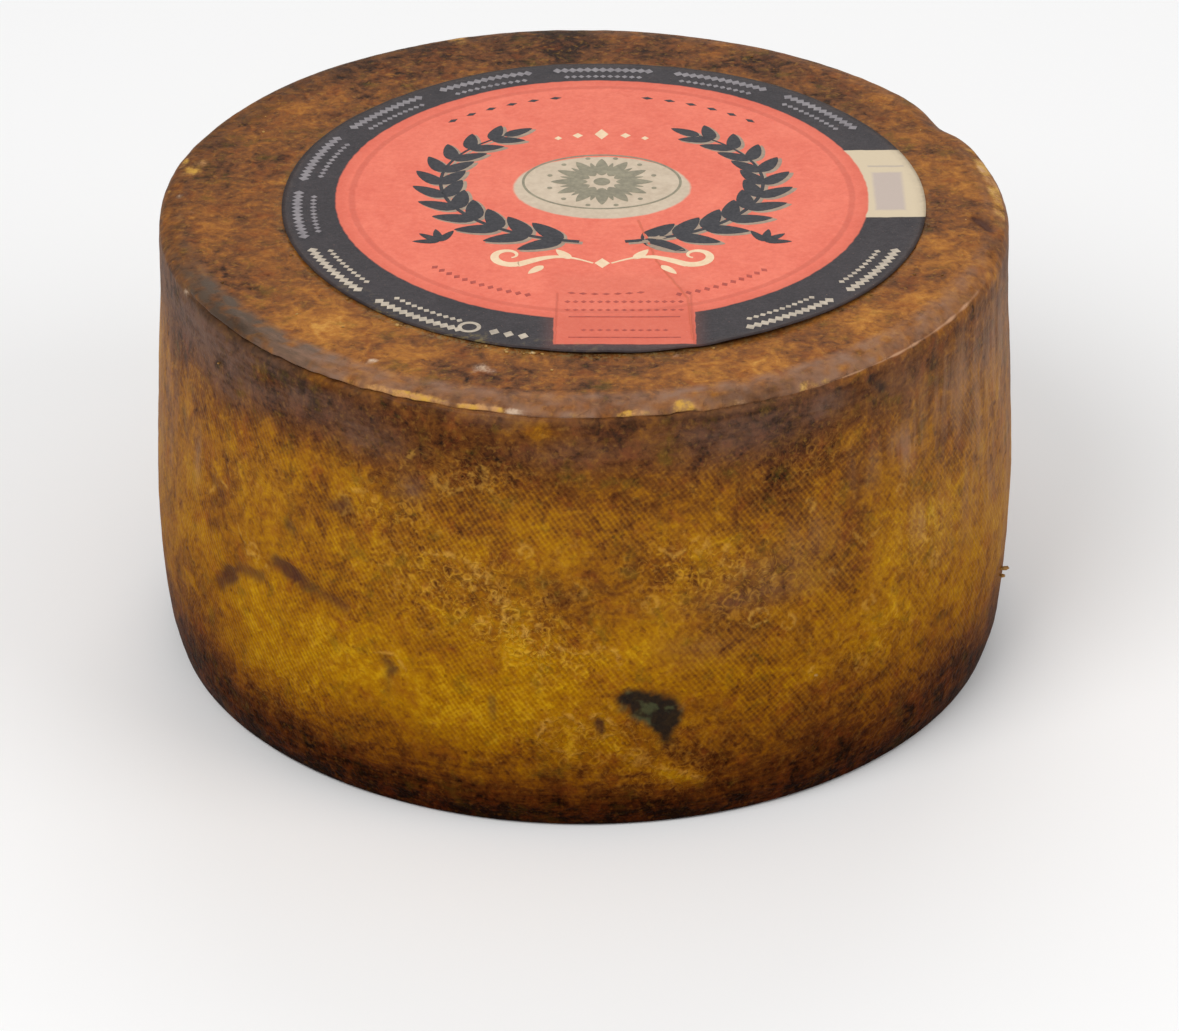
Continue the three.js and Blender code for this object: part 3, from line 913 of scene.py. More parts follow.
def makeRind():
    material, tree, shader = newMaterial("oiledRind", rindLook["specular"])
    look = rindLook
    place = inMillimetres(tree)
    parts = addNode(tree, "ShaderNodeSeparateXYZ", {0: place}).outputs
    height = parts["Z"]
    heightShare = calc(tree, "DIVIDE", height, 105.0)
    across = vectorCalc(tree, "LENGTH", vectorCalc(tree, "MULTIPLY", place, (1, 1, 0)))
    turn = calc(tree, "ARCTAN2", parts["X"], calc(tree, "MULTIPLY", parts["Y"], -1.0))  # 0 at the front
    onTop = times(tree, remap(tree, height, 99.8, 101.0), remap(tree, across, 96.2, 94.6))
    onWall = calc(tree, "SUBTRACT", 1.0, onTop)
    clouds = useGroup(tree, mottle, {"Vector": place, "Broad": 0.6, "Middle": 0.78, "Fine": 0.42})

    # streaks: lying flat on the wall and running round on the top, and upright ones at the sides
    flat = vectorCalc(tree, "MULTIPLY", place, (1, 1, 6))
    streak = noiseAt(tree, flat, 7.0, 3.0, 0.65)
    direction = vectorCalc(tree, "NORMALIZE", vectorCalc(tree, "MULTIPLY", place, (1, 1, 0)))
    ringed = addNode(tree, "ShaderNodeCombineXYZ", {"Z": calc(tree, "MULTIPLY", across, 5.0)}).outputs[0]
    topStreak = noiseAt(tree, bentBy(tree, ringed, direction, (95, 95, 95)), 7.0, 3.0, 0.65)
    streaks = mixValue(tree, onTop, streak, topStreak)
    upright = noiseAt(tree, vectorCalc(tree, "MULTIPLY", place, (1, 1, 0.12)), 3.2, 3.0, 0.6)
    streakShare = mixValue(tree, onTop, remap(tree, height, 26, 6, 0.16, 0.62), 0.16)

    # how warm the crust is, from 0 dark to 1 bright
    warm = mixValue(tree, onTop, curve(tree, heightShare, look["wallWarmth"]), look["topWarmth"])
    warm = total(tree, warm,
                 times(tree, clouds["Value"], mixValue(tree, onTop, 1.0, 1.25)),
                 times(tree, mask(tree, "warmth"), 0.22),
                 times(tree, centred(tree, streaks, 1.0), streakShare))

    # the cloth's slanting threads, strong in some places and rubbed off in others
    slant = total(tree,
                  times(tree, turn, float(look["hatchRepeats"])),
                  times(tree, height, math.tau / look["hatchRise"]),
                  times(tree, noiseAt(tree, place, 9.0, 1.0), 2.6))
    crossing = calc(tree, "SUBTRACT", times(tree, turn, 55.9), times(tree, height, 0.82))
    beads = calc(tree, "SINE", times(tree, crossing, math.tau))
    thread = total(tree, calc(tree, "SINE", slant), times(tree, beads, 0.4))
    rubbedOff = remap(tree, noiseAt(tree, place, 22.0, 1.5), 0.36, 0.6, 0.25, 1.0)
    frontShare = remap(tree, calc(tree, "ABSOLUTE", turn), 0.3, 1.3, 1.0, 0.5)
    tallShare = times(tree, remap(tree, height, 8.0, 24.0), remap(tree, height, 99.0, 80.0))
    hatch = times(tree, thread, rubbedOff, frontShare, tallShare, onWall)
    warm = total(tree, warm, times(tree, hatch, 0.07))

    # curled little rims and pits, crowded where the crust blistered
    bent = bentBy(tree, place, noiseOffset(tree, place, 2.4), (2.4, 2.4, 2.4))
    cells = addNode(tree, "ShaderNodeTexVoronoi", {"Vector": bent, "Scale": 1 / 3.0}).outputs["Distance"]
    offRim = calc(tree, "ABSOLUTE", calc(tree, "SUBTRACT", cells, 0.4))
    rims = calc(tree, "SUBTRACT", 1.0, remap(tree, offRim, 0.0, 0.16))
    hollows = remap(tree, cells, 0.3, 0.1)
    offFold = calc(tree, "SUBTRACT", noiseAt(tree, place, 3.0, 1.5, 0.5, 1.6), 0.5)
    folds = calc(tree, "SUBTRACT", 1.0, remap(tree, calc(tree, "ABSOLUTE", offFold), 0.0, 0.05))
    broken = remap(tree, noiseAt(tree, place, 3.6, 2.0), 0.42, 0.6)
    curls = calc(tree, "MAXIMUM", times(tree, rims, broken), times(tree, folds, 0.7))
    curlShare = times(tree, calc(tree, "ADD", mask(tree, "curls"), 0.12), onWall)
    curls = times(tree, curls, curlShare)
    hollows = times(tree, hollows, broken, curlShare)
    warm = total(tree, warm, times(tree, curls, 0.22), times(tree, hollows, -0.2))

    # folds and rings that stand out: a line where the painted distance to them is 0
    side = total(tree, mask(tree, "foldSide"), centred(tree, noiseAt(tree, place, 2.2, 2.0), 2.2))
    creases = calc(tree, "SUBTRACT", 1.0, remap(tree, calc(tree, "ABSOLUTE", side), 0.15, 1.0))
    worn = remap(tree, noiseAt(tree, place, 2.0, 2.0), 0.4, 0.58)
    creases = times(tree, creases, mask(tree, "foldNear"), worn)
    pits = remap(tree, noiseAt(tree, place, 2.4, 2.0, 0.5), 0.38, 0.26)
    warm = total(tree, warm, times(tree, pits, -0.13))

    crust = mixColour(tree, onTop, ramp(tree, warm, look["wall"]), ramp(tree, warm, look["top"]))
    # reddish and greenish drifts in the brown
    drift = noiseAt(tree, place, 6.0, 5.0, 0.68)
    crust = mixColour(tree, remap(tree, drift, 0.52, 0.7, 0.0, 0.4), crust, look["reddish"])
    crust = mixColour(tree, remap(tree, drift, 0.46, 0.3, 0.0, 0.4), crust, look["greenish"])
    # pale pinkish specks and folds
    speck = remap(tree, noiseAt(tree, place, 1.3, 2.0, 0.55), 0.55, 0.74)
    speckShare = total(tree, mixValue(tree, onTop, 0.14, 0.2), times(tree, mask(tree, "curls"), 0.2))
    foldShare = total(tree,
                      times(tree, creases, 0.78),
                      times(tree, curls, 0.3),
                      times(tree, speck, speckShare))
    crust = mixColour(tree, calc(tree, "MINIMUM", foldShare, 0.85), crust, look["fold"])
    # painted sheen, streaky and upright, at the sides
    sheenShare = times(tree, mask(tree, "paintedSheen"), remap(tree, upright, 0.36, 0.64, 0.25, 1.0))
    crust = mixColour(tree, times(tree, sheenShare, 0.6), crust, look["paintedSheen"])
    # the dull grey film, partly painted reflection, darker on the left of the bevel and paler towards the
    # front and right
    filmPlace = total(tree, mixValue(tree, 0.6, streaks, drift), times(tree, clouds["Value"], 0.3))
    thinnest = mixValue(tree, onTop, 0.25, 0.62)
    filmAndReflectionShare = times(tree, mask(tree, "film"), remap(tree, filmPlace, 0.34, 0.62, thinnest, 0.96))
    paler = remap(tree, total(tree, turn, centred(tree, topStreak, 0.8)), -1.0, -0.4)
    rimFilmAndReflection = mixColour(tree, paler, look["filmReflectionDark"], look["filmReflectionPale"])
    crust = mixColour(tree, filmAndReflectionShare, crust, mixColour(tree, onTop, look["film"], rimFilmAndReflection))
    dustShare = times(tree, mask(tree, "dust"), remap(tree, clouds["Grain"], 0.4, 0.66))
    crust = mixColour(tree, calc(tree, "MINIMUM", dustShare, 0.8), crust, look["dust"])
    smudgeShare = total(tree, mask(tree, "smudge"), times(tree, clouds["Value"], 0.35))
    crust = mixColour(tree, remap(tree, smudgeShare, 0.02, 1.1, 0.0, 0.85), crust, look["smudge"])
    bloom = remap(tree, noiseAt(tree, place, 3.4, 2.0), 0.5, 0.66)
    black = mixColour(tree, bloom, look["stain"], look["stainGreen"])
    stainShare = total(tree, mask(tree, "stain"), times(tree, clouds["Value"], 0.4))
    crust = mixColour(tree, remap(tree, stainShare, 0.06, 1.0, 0.0, 0.94), crust, black)
    crust = mixColour(tree, times(tree, mask(tree, "shade"), 0.78), crust, look["shade"])
    crumble = total(tree, centred(tree, clouds["Grain"], 1.2), times(tree, clouds["Value"], 0.8))
    chipShare = times(tree, mask(tree, "chip"), total(tree, crumble, 0.9))
    yellower = remap(tree, noiseAt(tree, place, 3.0, 2.0), 0.42, 0.6)
    chipColour = mixColour(tree, yellower, look["chip"], look["chipYellow"])
    crust = mixColour(tree, remap(tree, chipShare, 0.15, 1.0, 0.0, 0.92), crust, chipColour)
    # painted highlight along the lip's ridge
    crust = mixColour(tree, remap(tree, mask(tree, "ridgeAndHighlight"), 0.2, 0.9, 0.0, 0.85), crust, look["ridgeAndHighlight"])
    paleShare = times(tree, mask(tree, "white"), total(tree, crumble, 0.9))
    crust = mixColour(tree, remap(tree, paleShare, 0.15, 1.0, 0.0, 0.85), crust, look["white"])
    # painted shade: the colour darkens to brown towards the foot, which stood in brown shade
    lit = curve(tree, heightShare, look["light"])
    crust = mixColour(tree, 1.0, crust, mixColour(tree, lit, look["footShade"], (1, 1, 1, 1)), "MULTIPLY")
    tree.links.new(crust, shader.inputs["Base Color"])

    tree.links.new(total(tree, 0.42, times(tree, streaks, 0.12), times(tree, mask(tree, "chip"), 0.15)),
                   shader.inputs["Roughness"])
    coat = total(tree,
                 times(tree, filmAndReflectionShare, 0.07),
                 times(tree, sheenShare, 0.08),
                 remap(tree, height, 30, 80, 0.0, 0.09))
    tree.links.new(coat, shader.inputs["Coat Weight"])
    shader.inputs["Coat Roughness"].default_value = look["coatRoughness"]
    tall = total(tree, times(tree, hatch, 0.17), times(tree, clouds["Value"], 0.9), times(tree, curls, 0.5),
                 times(tree, hollows, -0.5), times(tree, pits, -0.35), times(tree, creases, 0.8),
                 times(tree, clouds["Grain"], 0.25))
    addBump(tree, shader, tall, look["relief"])
    return material


def makeWheel():
    bm, masks = makeWheelMesh()
    fitToBox(bm, wheelLow, wheelHigh)
    piece = finishMesh(bm, "rindWheel", makeRind())
    for name, values in masks.items():
        paintMask(piece, name, values)
    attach(piece, "root")
    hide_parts("wheel")
    return piece


wheelPiece = makeWheel()
print("wheel made:", len(wheelPiece.data.polygons), "faces")


# The label: a thin paper disc on the top, cockled at its edge, with one stretch that stands up
labelForm = {
    "centre": labelMiddle,
    "radius": labelReach,
    "under": labelLow.z / mm - 0.2,
    "thickness": 0.22,
    "columns": 480,
    "rings": 74,
    "cockle": {"height": 0.14, "times": 7},
    "lift": {"angle": 298, "reach": 14, "height": 0.6},
    "crease": [(12, -10), (15.9, -29.7), (22.4, -47.1), (23.1, -66.2)],  # x and y in the wheel's own frame
}


def paperRise(x, y):
    # how far the paper stands above its flat place
    form = labelForm
    dx, dy = x - form["centre"][0], y - form["centre"][1]
    ring = math.hypot(dx, dy) / form["radius"]
    angle = math.degrees(math.atan2(dy, dx))
    wave = form["cockle"]["height"] * (1 + math.sin(math.radians(angle) * form["cockle"]["times"] + 0.8))
    raised = wave + form["lift"]["height"] * hump(angle, form["lift"]["angle"], form["lift"]["reach"])
    raised += 0.1 * grain(x, y, 0, 5, 3) * rise(ring, 0.84, 1)
    raised += 0.13 * hump(angle, 276, 22) * (1 + math.sin(math.radians(angle) * 31)) * rise(ring, 0.9, 1)
    low = 0.05 * (grain(x, y, 0, 12, 41) + 1)
    fold = 0.1 * math.exp(-(awayFromPath(x, y, form["crease"]) / 0.8) ** 2)
    return raised * rise(ring, 0.72, 1) + low + fold


def paperTop(x, y):
    return labelForm["under"] + labelForm["thickness"] + paperRise(x, y)


def makeLabelMesh():
    form = labelForm
    radius = form["radius"]
    bm = bmesh.new()
    rows = [0, 40, 56, 64, 69, radius - 0.1]  # the underside, out to the edge
    upper = [radius * (1 - k / form["rings"]) for k in range(form["rings"] + 1)]
    verts = [bm.verts.new((r, 0, 0)) for r in rows] + [bm.verts.new((r, 0, form["thickness"])) for r in upper]
    spinProfile(bm, verts, form["columns"])
    bmesh.ops.translate(bm, vec=(form["centre"][0], form["centre"][1], form["under"]), verts=bm.verts)
    for vert in bm.verts:
        vert.co.z += paperRise(vert.co.x, vert.co.y)
    return bm


# Fields of the print, as centre and half sizes from the label's own centre
paperFields = {
    "disc": (-0.4, 2.9, 60.0, 60.0),
    "tab": (4.3, -52.3, 15.2, 16.2),
    "patch": (67.5, 8.6, 13.4, 17.0),
    "square": (64.3, 4.5, 3.3, 9.4),
    "oval": (-0.4, 6.6, 20.0, 15.6),
}


def makePaper():
    material, tree, shader = newMaterial("printedPaper", 0.2)
    fields = paperFields
    centre = labelForm["centre"]
    place = inMillimetres(tree, (-centre[0], -centre[1], 0), True)
    clouds = useGroup(tree, mottle, {"Vector": place, "Broad": 0.5, "Middle": 0.5, "Fine": 0.5})
    point = bentBy(tree, place, noiseOffset(tree, place, 2.6), (0.5, 0.5, 0))

    def mark(group, x, y, halfX, halfY, edge):
        sockets = {"Point": point, "Centre": (x, y, 0), "Half": (halfX, halfY, 1), "Edge": edge}
        return useGroup(tree, group, sockets)["Mask"]

    def oval(x, y, halfX, halfY, edge=0.004):
        return mark(ovalMark, x, y, halfX, halfY, edge)

    def box(x, y, halfX, halfY, edge=0.15):
        return mark(boxMark, x, y, halfX, halfY, edge)

    def line(start, end, width):
        sockets = {"Point": point, "Start": (*start, 0), "End": (*end, 0), "Width": width}
        return useGroup(tree, lineMark, sockets)["Mask"]

    def overlay(share, strength, shade):
        return mixColour(tree, times(tree, share, strength), printed, shade)

    printed = mixColour(tree, remap(tree, clouds["Value"], -0.3, 0.4), colour(37, 32, 36), colour(61, 54, 57))
    x, y, radius, _ = fields["disc"]
    printed = overlay(box(*fields["patch"]), 1.0, colour(212, 194, 164))
    sx, sy, halfX, halfY = fields["square"]
    printed = overlay(box(sx, sy, halfX, halfY, 0.6), 0.8, colour(186, 170, 164))
    printed = overlay(box(sx, sy + halfY + 3.2, halfX + 0.8, 0.4, 0.3), 0.7, colour(176, 162, 152))
    uneven = remap(tree, clouds["Value"], -0.4, 0.4)
    coral = mixColour(tree, uneven, colour(222, 98, 76), colour(242, 128, 102))
    edgeShade = calc(tree, "SUBTRACT", 1.0, oval(x, y, 58, 58, 0.05))
    coral = mixColour(tree, times(tree, edgeShade, 0.5), coral, colour(208, 88, 64))
    rimRing = calc(tree, "SUBTRACT", oval(x, y, 57.0, 57.0, 0.006), oval(x, y, 55.6, 55.6, 0.006))
    coral = mixColour(tree, times(tree, rimRing, 0.45), coral, colour(196, 84, 64))
    field = calc(tree, "MAXIMUM", oval(x, y, radius, radius), box(*fields["tab"]))
    printed = mixColour(tree, field, printed, coral)
    tabX, tabY, tabHalfX, tabHalfY = fields["tab"]
    sides = 0.0
    for side in (-1, 1):
        edgeX = tabX + side * (tabHalfX - 0.3)
        sides = total(tree, sides, line((edgeX, tabY - tabHalfY), (edgeX - side * 0.4, tabY + 7.5), 0.8))
    crease = 0.0
    path = [(px - centre[0], py - centre[1]) for px, py in labelForm["crease"]]
    for a, b in zip(path, path[1:]):
        crease = calc(tree, "MAXIMUM", crease, line(a, b, 0.9))
    printed = overlay(sides, 0.45, colour(176, 78, 60))
    # painted shade along the paper's crease
    printed = overlay(crease, 0.6, colour(196, 92, 60))
    printed = overlay(box(tabX, tabY, tabHalfX, tabHalfY, 4.0), 0.22, colour(200, 104, 80))
    cream = mixColour(tree, uneven, colour(188, 168, 144), colour(216, 198, 174))
    printed = mixColour(tree, oval(*fields["oval"], 0.02), printed, cream)
    # a little rubbing, oil that has crept in from the rim, and crust dust at the lower left
    printed = overlay(remap(tree, clouds["Grain"], 0.62, 0.8), 0.2, colour(236, 196, 176))
    edgeFar = vectorCalc(tree, "LENGTH", place)
    oil = times(tree, remap(tree, edgeFar, 69.5, 72.6), remap(tree, clouds["Value"], -0.2, 0.3, 0.2, 0.8))
    printed = overlay(oil, 0.5, colour(84, 60, 40))
    dust = calc(tree, "MAXIMUM", oval(-24, -67, 26, 6, 0.4), oval(-52, -50, 10, 8, 0.5))
    dust = times(tree, dust, remap(tree, edgeFar, 66, 71.5), remap(tree, clouds["Value"], 0.0, 0.2))
    printed = overlay(dust, 0.75, colour(128, 112, 64))
    tree.links.new(printed, shader.inputs["Base Color"])
    tree.links.new(remap(tree, clouds["Grain"], 0.3, 0.7, 0.48, 0.62), shader.inputs["Roughness"])
    tall = total(tree,
                 times(tree, clouds["Value"], 0.6),
                 times(tree, clouds["Grain"], 0.15),
                 times(tree, crease, 0.5),
                 times(tree, sides, -0.4))
    addBump(tree, shader, tall, 0.3, 0.7)
    return material


def makeLabel():
    piece = finishMesh(makeLabelMesh(), "paperLabel", makePaper())
    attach(piece, "root")
    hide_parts("label")
    return piece


labelPiece = makeLabel()
print("label made:", len(labelPiece.data.polygons), "faces")


# Printed motifs, thin films of ink that follow the paper
inkForm = {
    "lift": 0.035,  # above the paper
    "film": 0.03,
    "middle": (3.9, 9.6),  # of the medallion and wreath, in the wheel's frame
    "wreath": (36.5, 30.0),
    "leafPairs": 11,
    "leafLength": 11.0,
    "leafWidth": 4.4,
    "field": (3.9, 3.0),  # centre of the coral field
    "braidRadii": (65.2, 68.8),
}


def placeAt(x, y, angle=0.0):
    return Matrix.Translation((x, y, 0)) @ Matrix.Rotation(math.radians(angle), 4, "Z")


def addLeaf(bm, matrix, length, width):
    # a pointed leaf with its foot on the origin, lying along +X
    made = bmesh.ops.create_circle(bm, cap_ends=True, segments=18, radius=1)["verts"]
    for vert in made:
        along = vert.co.x
        across = vert.co.y * width / 2 * (1 - 0.35 * along) * (1 - along ** 4) ** 0.25
        vert.co = ((along + 1) / 2 * length, across, 0)
    bmesh.ops.transform(bm, matrix=matrix, verts=made)


def addOval(bm, matrix, halfX, halfY, segments=24):
    made = bmesh.ops.create_circle(bm, cap_ends=True, segments=segments, radius=1)["verts"]
    bmesh.ops.transform(bm, matrix=matrix @ Matrix.Diagonal((halfX, halfY, 1, 1)), verts=made)


def addDiamond(bm, matrix, length, width):
    addOval(bm, matrix, length / 2, width / 2, 4)


def addRibbon(bm, points, widths):
    # a pen stroke through points, as wide as widths say at each
    steps = len(points) - 1
    made = bmesh.ops.create_grid(bm, x_segments=steps, y_segments=1, size=1)["verts"]
    for vert in made:
        i = round((vert.co.x + 1) / 2 * steps)
        before = Vector(points[max(i - 1, 0)])
        after = Vector(points[min(i + 1, steps)])
        run = (after - before).normalized()
        side = Vector((-run.y, run.x)) * widths[i] / 2 * (1 if vert.co.y > 0 else -1)
        vert.co = (points[i][0] + side.x, points[i][1] + side.y, 0)
    return made


def addHoop(bm, x, y, halfX, halfY, width, segments=96):
    turns = [math.tau * k / segments for k in range(segments + 1)]
    points = [(x + halfX * math.cos(t), y + halfY * math.sin(t)) for t in turns]
    made = addRibbon(bm, points, [width] * (segments + 1))
    bmesh.ops.remove_doubles(bm, verts=made, dist=0.05)


def addArcRow(bm, centre, radius, turns, length, width):
    for turn in turns:
        t = math.radians(turn)
        x, y = centre[0] + radius * math.cos(t), centre[1] + radius * math.sin(t)
        addDiamond(bm, placeAt(x, y, turn + 90), length, width)


def layInk(bm, name, light, dark, extra=0.0):
    # gives the flat shapes a film's thickness and lays them on the paper
    for face in bm.faces:
        face.normal_update()
        if face.normal.z < 0:
            face.normal_flip()
    grown = bmesh.ops.extrude_face_region(bm, geom=bm.faces[:])["geom"]
    upper = [g for g in grown if isinstance(g, bmesh.types.BMVert)]
    bmesh.ops.translate(bm, vec=(0, 0, inkForm["film"]), verts=upper)
    for vert in bm.verts:
        vert.co.z += paperTop(vert.co.x, vert.co.y) + inkForm["lift"] - inkForm["film"] + extra
    bmesh.ops.recalc_face_normals(bm, faces=bm.faces)
    material, tree, shader = newMaterial(name, 0.2)
    place = inMillimetres(tree, flat=True)
    clouds = useGroup(tree, mottle, {"Vector": place, "Broad": 0.4, "Middle": 0.5, "Fine": 0.7})
    shade = mixColour(tree, remap(tree, clouds["Value"], -0.35, 0.35), dark, light)
    tree.links.new(shade, shader.inputs["Base Color"])
    tree.links.new(remap(tree, clouds["Grain"], 0.3, 0.7, 0.48, 0.62), shader.inputs["Roughness"])
    addBump(tree, shader, clouds["Value"], 0.1)
    piece = finishMesh(bm, name, material, smoothFaces=False)
    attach(piece, "root")
    return piece


def addWreath(bm, shiftX=0.0, shiftY=0.0, grow=1.0):
    # two leafy branches that rise on both sides of the medallion
    form = inkForm
    cx, cy = form["middle"][0] + shiftX, form["middle"][1] + shiftY
    halfX, halfY = form["wreath"]

    def onStem(side, turn):
        t = math.radians(turn)
        return cx + side * halfX * math.cos(t), cy + halfY * math.sin(t)

    for side in (-1, 1):
        points = [onStem(side, mix(-82, 52, k / 40)) for k in range(41)]
        addRibbon(bm, points, [1.3 * grow * (1 - 0.6 * k / 40) for k in range(41)])
        for pair in range(form["leafPairs"] + 1):
            share = (pair + 0.5) / form["leafPairs"]
            turn = mix(-82, 52, min(share, 1))
            x, y = onStem(side, turn)
            nextX, nextY = onStem(side, turn + 1)
            heading = math.degrees(math.atan2(nextY - y, nextX - x))
            size = (1 - 0.3 * share) * grow
            leans = (-40, 36) if pair < form["leafPairs"] else (0,)
            for lean in leans:
                place = placeAt(x, y, heading + lean)
                addLeaf(bm, place, form["leafLength"] * size, form["leafWidth"] * size)


def addFlourish(bm):
    # two mirrored pen scrolls that meet under the wreath
    cx, cy = inkForm["field"][0], inkForm["field"][1] - 33.5
    for side in (-1, 1):
        points = []
        widths = []
        for k in range(61):
            s = k / 60
            if s < 0.5:
                points.append((cx + side * (2 + 34 * s), cy + 3.0 * math.sin(s * 2 * math.pi * 1.1)))
            else:
                turn = math.radians(-118 + 400 * (s - 0.5) * 2 * 0.9)
                radius = mix(4.4, 0.9, (s - 0.5) * 2)
                x = cx + side * (20.4 + radius * math.cos(turn))
                points.append((x, cy + 3.5 + radius * math.sin(turn)))
            widths.append(0.5 + 1.7 * math.sin(math.pi * s) ** 2)
        addRibbon(bm, points, widths)
        addLeaf(bm, placeAt(cx + side * 7, cy + 2.0, 90 - side * 35), 5.5, 2.2)
        addLeaf(bm, placeAt(cx + side * 13, cy - 1.2, -90 + side * 40), 5.0, 2.0)
    addDiamond(bm, placeAt(cx, cy), 3.4, 4.6)


def makeMotifs():
    form = inkForm
    cx, cy = form["middle"]
    mx, my = form["field"]
    lx, ly = labelForm["centre"]

    dark = bmesh.new()
    addWreath(dark)
    for side in (-1, 1):  # a small bud on each side of the flourish
        for lean in (-60, -20, 20, 60):
            addLeaf(dark, placeAt(mx + side * 36, my - 23, 90 - side * 30 + lean), 6.0, 2.0)
    addArcRow(dark, (mx, my), 51.5, list(range(48, 79, 6)) + list(range(102, 133, 6)), 2.8, 1.4)
    layInk(dark, "inkDark", colour(58, 56, 60), colour(36, 36, 42))

    pale = bmesh.new()
    addWreath(pale, 0.75, -0.75, 1.03)
    layInk(pale, "inkPale", colour(176, 156, 134), colour(146, 124, 108), -0.012)

    grey = bmesh.new()
    for petal in range(12):
        addLeaf(grey, placeAt(cx, cy, petal * 30) @ Matrix.Translation((3.2, 0, 0)), 8.4, 3.0)
        addLeaf(grey, placeAt(cx, cy, petal * 30 + 15) @ Matrix.Translation((5.0, 0, 0)), 4.8, 1.2)
        addOval(grey, placeAt(cx, cy, petal * 30 + 15) @ Matrix.Translation((12.2, 0, 0)), 0.6, 0.6, 10)
    addOval(grey, placeAt(cx, cy), 1.9, 1.9)
    addHoop(grey, cx, cy, 17.8, 13.6, 0.6)
    layInk(grey, "inkGrey", colour(158, 150, 126), colour(122, 116, 98))

    cream = bmesh.new()
    addFlourish(cream)
    addDiamond(cream, placeAt(cx, cy + 24.5), 3.2, 5.4)
    for side in (-1, 1):
        addDiamond(cream, placeAt(cx + side * 5.5, cy + 23.8), 2.4, 2.6)
        addDiamond(cream, placeAt(cx + side * 10, cy + 22.4), 1.8, 2.0)
    layInk(cream, "inkCream", colour(246, 220, 184), colour(230, 198, 160), 0.006)

    # small muted rows low in the field and on the tab
    muted = bmesh.new()
    turns = [224 + 2.5 * k for k in range(12)] + [289 + 2.5 * k for k in range(11)]
    addArcRow(muted, (mx, my), 51.0, turns, 1.5, 1.9)
    addArcRow(muted, (mx, my), 48.0, [262 + 3 * k for k in range(7)], 1.8, 1.0)
    for y, count, size in ((-48.6, 15, 1.2), (-52.4, 15, 0.9), (-61.8, 11, 1.0)):
        for k in range(count):
            addDiamond(muted, placeAt(lx + 4.3 + (k - (count - 1) / 2) * 1.75, y), 1.3, size)
    for y in (-55.6, -65.2):
        addRibbon(muted, [(lx + 4.3 - 12 + 3 * k, y) for k in range(9)], [0.45] * 9)
    layInk(muted, "inkMuted", colour(196, 84, 68), colour(150, 62, 54))


def makeBraid():
    # rows of little diamonds and dots in the dark ring, broken by gaps
    lx, ly = labelForm["centre"]
    inner, outer = inkForm["braidRadii"]
    front = bmesh.new()
    back = bmesh.new()
    for block in range(15):
        middle = 282 + block * 24
        if abs(turnBetween(middle, 270)) < 20 or -16 < turnBetween(middle, 0) < 26:
            continue
        bm = back if 20 < middle % 360 < 190 else front
        turns = [middle + k * 1.5 for k in range(-6, 7)]
        addArcRow(bm, (lx, ly), outer, turns, 2.3, 2.6)
        addArcRow(bm, (lx, ly), inner, turns[1:-1], 1.5, 1.6)
    # a small ring and three diamonds at the lower left
    t = math.radians(244.4)
    addHoop(front, lx + 67 * math.cos(t), ly + 67 * math.sin(t), 2.1, 2.1, 0.9, 24)
    addArcRow(front, (lx, ly), 67.0, (249.4, 252.2, 255.0), 2.4, 3.0)
    layInk(front, "inkBraidFront", colour(206, 192, 172), colour(160, 148, 134))
    layInk(back, "inkBraidBack", colour(150, 144, 146), colour(118, 112, 116))


makeMotifs()
makeBraid()
print("print made")


# Crumbs and flakes of crust, on the top, along the label and one on the wall
crumbForm = {
    "labelEdge": 46,
    "top": 16,
    # on the wall: angle, height and size
    "wall": [(348.0, 21.0, 1.1), (347.4, 19.6, 0.7), (300.6, 32.6, 0.5), (214.5, 93.0, 0.45)],
}


def addCrumb(bm, place, size, dice):
    made = bmesh.ops.create_icosphere(bm, subdivisions=1, radius=1)["verts"]
    stretch = Vector((dice.uniform(0.7, 1.4), dice.uniform(0.6, 1.1), dice.uniform(0.35, 0.6)))
    spin = Matrix.Rotation(dice.uniform(0, math.tau), 4, "Z")
    for vert in made:
        rough = 1 + 0.35 * noise.noise(vert.co * 1.3 + Vector(place))
        vert.co = Vector(place) + spin @ (vert.co * stretch * size * rough)


def makeCrumbMaterial():
    material, tree, shader = newMaterial("crustCrumbs", 0.2)
    place = inMillimetres(tree)
    clouds = useGroup(tree, mottle, {"Vector": place, "Broad": 1.4, "Middle": 0.9, "Fine": 0.6})
    shade = ramp(tree, total(tree, 0.5, clouds["Value"]), [
        (0.2, colour(84, 54, 28)), (0.45, colour(138, 98, 46)),
        (0.66, colour(186, 146, 84)), (0.9, colour(214, 190, 150))])
    tree.links.new(shade, shader.inputs["Base Color"])
    shader.inputs["Roughness"].default_value = 0.7
    addBump(tree, shader, clouds["Grain"], 0.2)
    return material


def makeCrumbs():
    dice = random.Random(23)
    form = crumbForm
    bm = bmesh.new()
    top = wheelForm["flatTop"]
    lx, ly = labelForm["centre"]
    for _ in range(form["labelEdge"]):
        angle = math.radians(dice.gauss(260, 26))
        radius = labelForm["radius"] + dice.uniform(0.2, 1.8)
        size = 0.18 + 0.4 * dice.random() ** 2
        x, y = lx + radius * math.cos(angle), ly + radius * math.sin(angle)
        addCrumb(bm, (x, y, top + 0.02 + 0.2 * size), size, dice)
    for _ in range(form["top"]):
        angle = math.radians(dice.uniform(0, 360))
        radius = dice.uniform(77.5, 88.0)
        size = dice.uniform(0.2, 0.45)
        addCrumb(bm, (radius * math.cos(angle), radius * math.sin(angle), top + 0.2 * size), size, dice)
    for angle, height, size in form["wall"]:
        t = math.radians(angle)
        radius = curveThrough(wheelForm["wall"], height) + 0.1
        addCrumb(bm, (radius * math.cos(t), radius * math.sin(t), height), size, dice)
    piece = finishMesh(bm, "crustCrumbs", makeCrumbMaterial())
    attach(piece, "root")


makeCrumbs()
print("crumbs made")


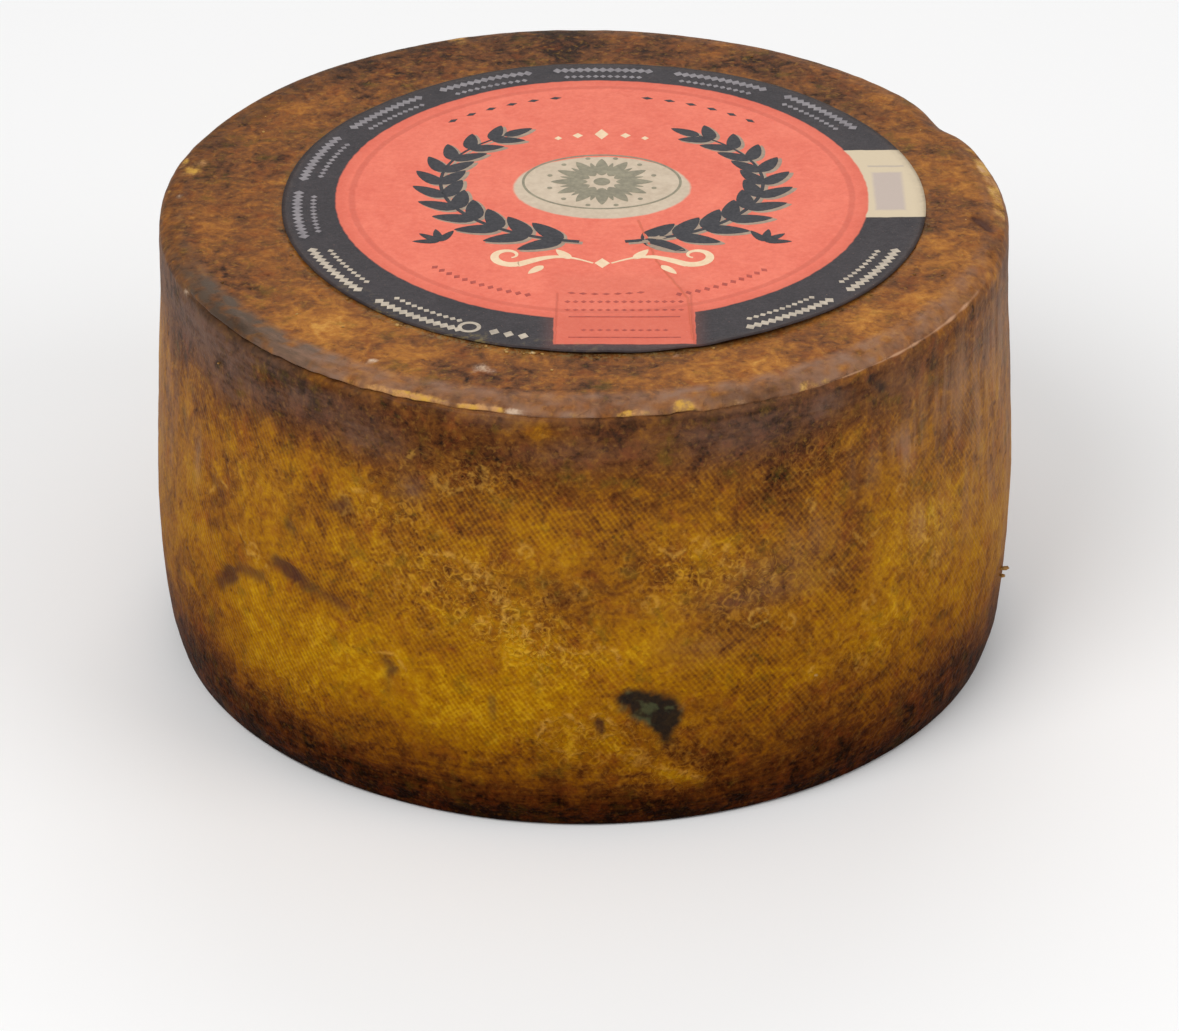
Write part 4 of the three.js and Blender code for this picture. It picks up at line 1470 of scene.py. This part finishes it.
# Camera, floor and soft light
studio = {
    "floorReach": 3000,
    "world": 0.52,
    # name, place and size in metres, and power
    "softboxes": [("keySoftbox", (-0.7, -0.9, 1.3), 1.0, 12.5), ("fillSoftbox", (1.1, -0.5, 0.9), 0.9, 5),
                  ("backSoftbox", (0.1, 1.2, 1.0), 1.0, 4.5)],
    "aim": (0, 0, 0.05),
}
view = {
    "target": (1.1, 0.0, 23.0),
    "distance": 1139.3,
    "elevation": 30.33,
    "lens": 149.15,
}


def makeCamera():
    data = bpy.data.cameras.new("camera")
    data.lens = view["lens"]
    data.sensor_width = 36
    data.clip_start = 0.01
    camera = bpy.data.objects.new("camera", data)
    bpy.context.scene.collection.objects.link(camera)
    lean = math.radians(view["elevation"])
    target = Vector(view["target"]) * mm
    camera.location = target + Vector((0, -math.cos(lean), math.sin(lean))) * view["distance"] * mm
    camera.rotation_euler = (math.pi / 2 - lean, 0, 0)
    bpy.context.scene.camera = camera


def makeFloor():
    bm = bmesh.new()
    bmesh.ops.create_grid(bm, x_segments=8, y_segments=8, size=studio["floorReach"])
    material, tree, shader = newMaterial("paleFloor", 0.1)
    shader.inputs["Base Color"].default_value = (0.94, 0.94, 0.94, 1)
    shader.inputs["Roughness"].default_value = 0.9
    floor = finishMesh(bm, "floor", material)


def addSoftbox(name, place, size, power):
    data = bpy.data.lights.new(name, "AREA")
    data.shape = "DISK"
    data.size = size
    data.energy = power
    light = bpy.data.objects.new(name, data)
    bpy.context.scene.collection.objects.link(light)
    light.location = place
    light.rotation_euler = (Vector(studio["aim"]) - Vector(place)).to_track_quat("-Z", "Y").to_euler()


def makeLight():
    world = bpy.data.worlds.new("studio")
    bpy.context.scene.world = world
    world.use_nodes = True
    sky = world.node_tree.nodes["Background"].inputs
    sky["Color"].default_value = (1, 1, 1, 1)
    sky["Strength"].default_value = studio["world"]
    for softbox in studio["softboxes"]:
        addSoftbox(*softbox)
    bpy.context.scene.view_settings.view_transform = "Standard"


makeCamera()
makeFloor()
makeLight()
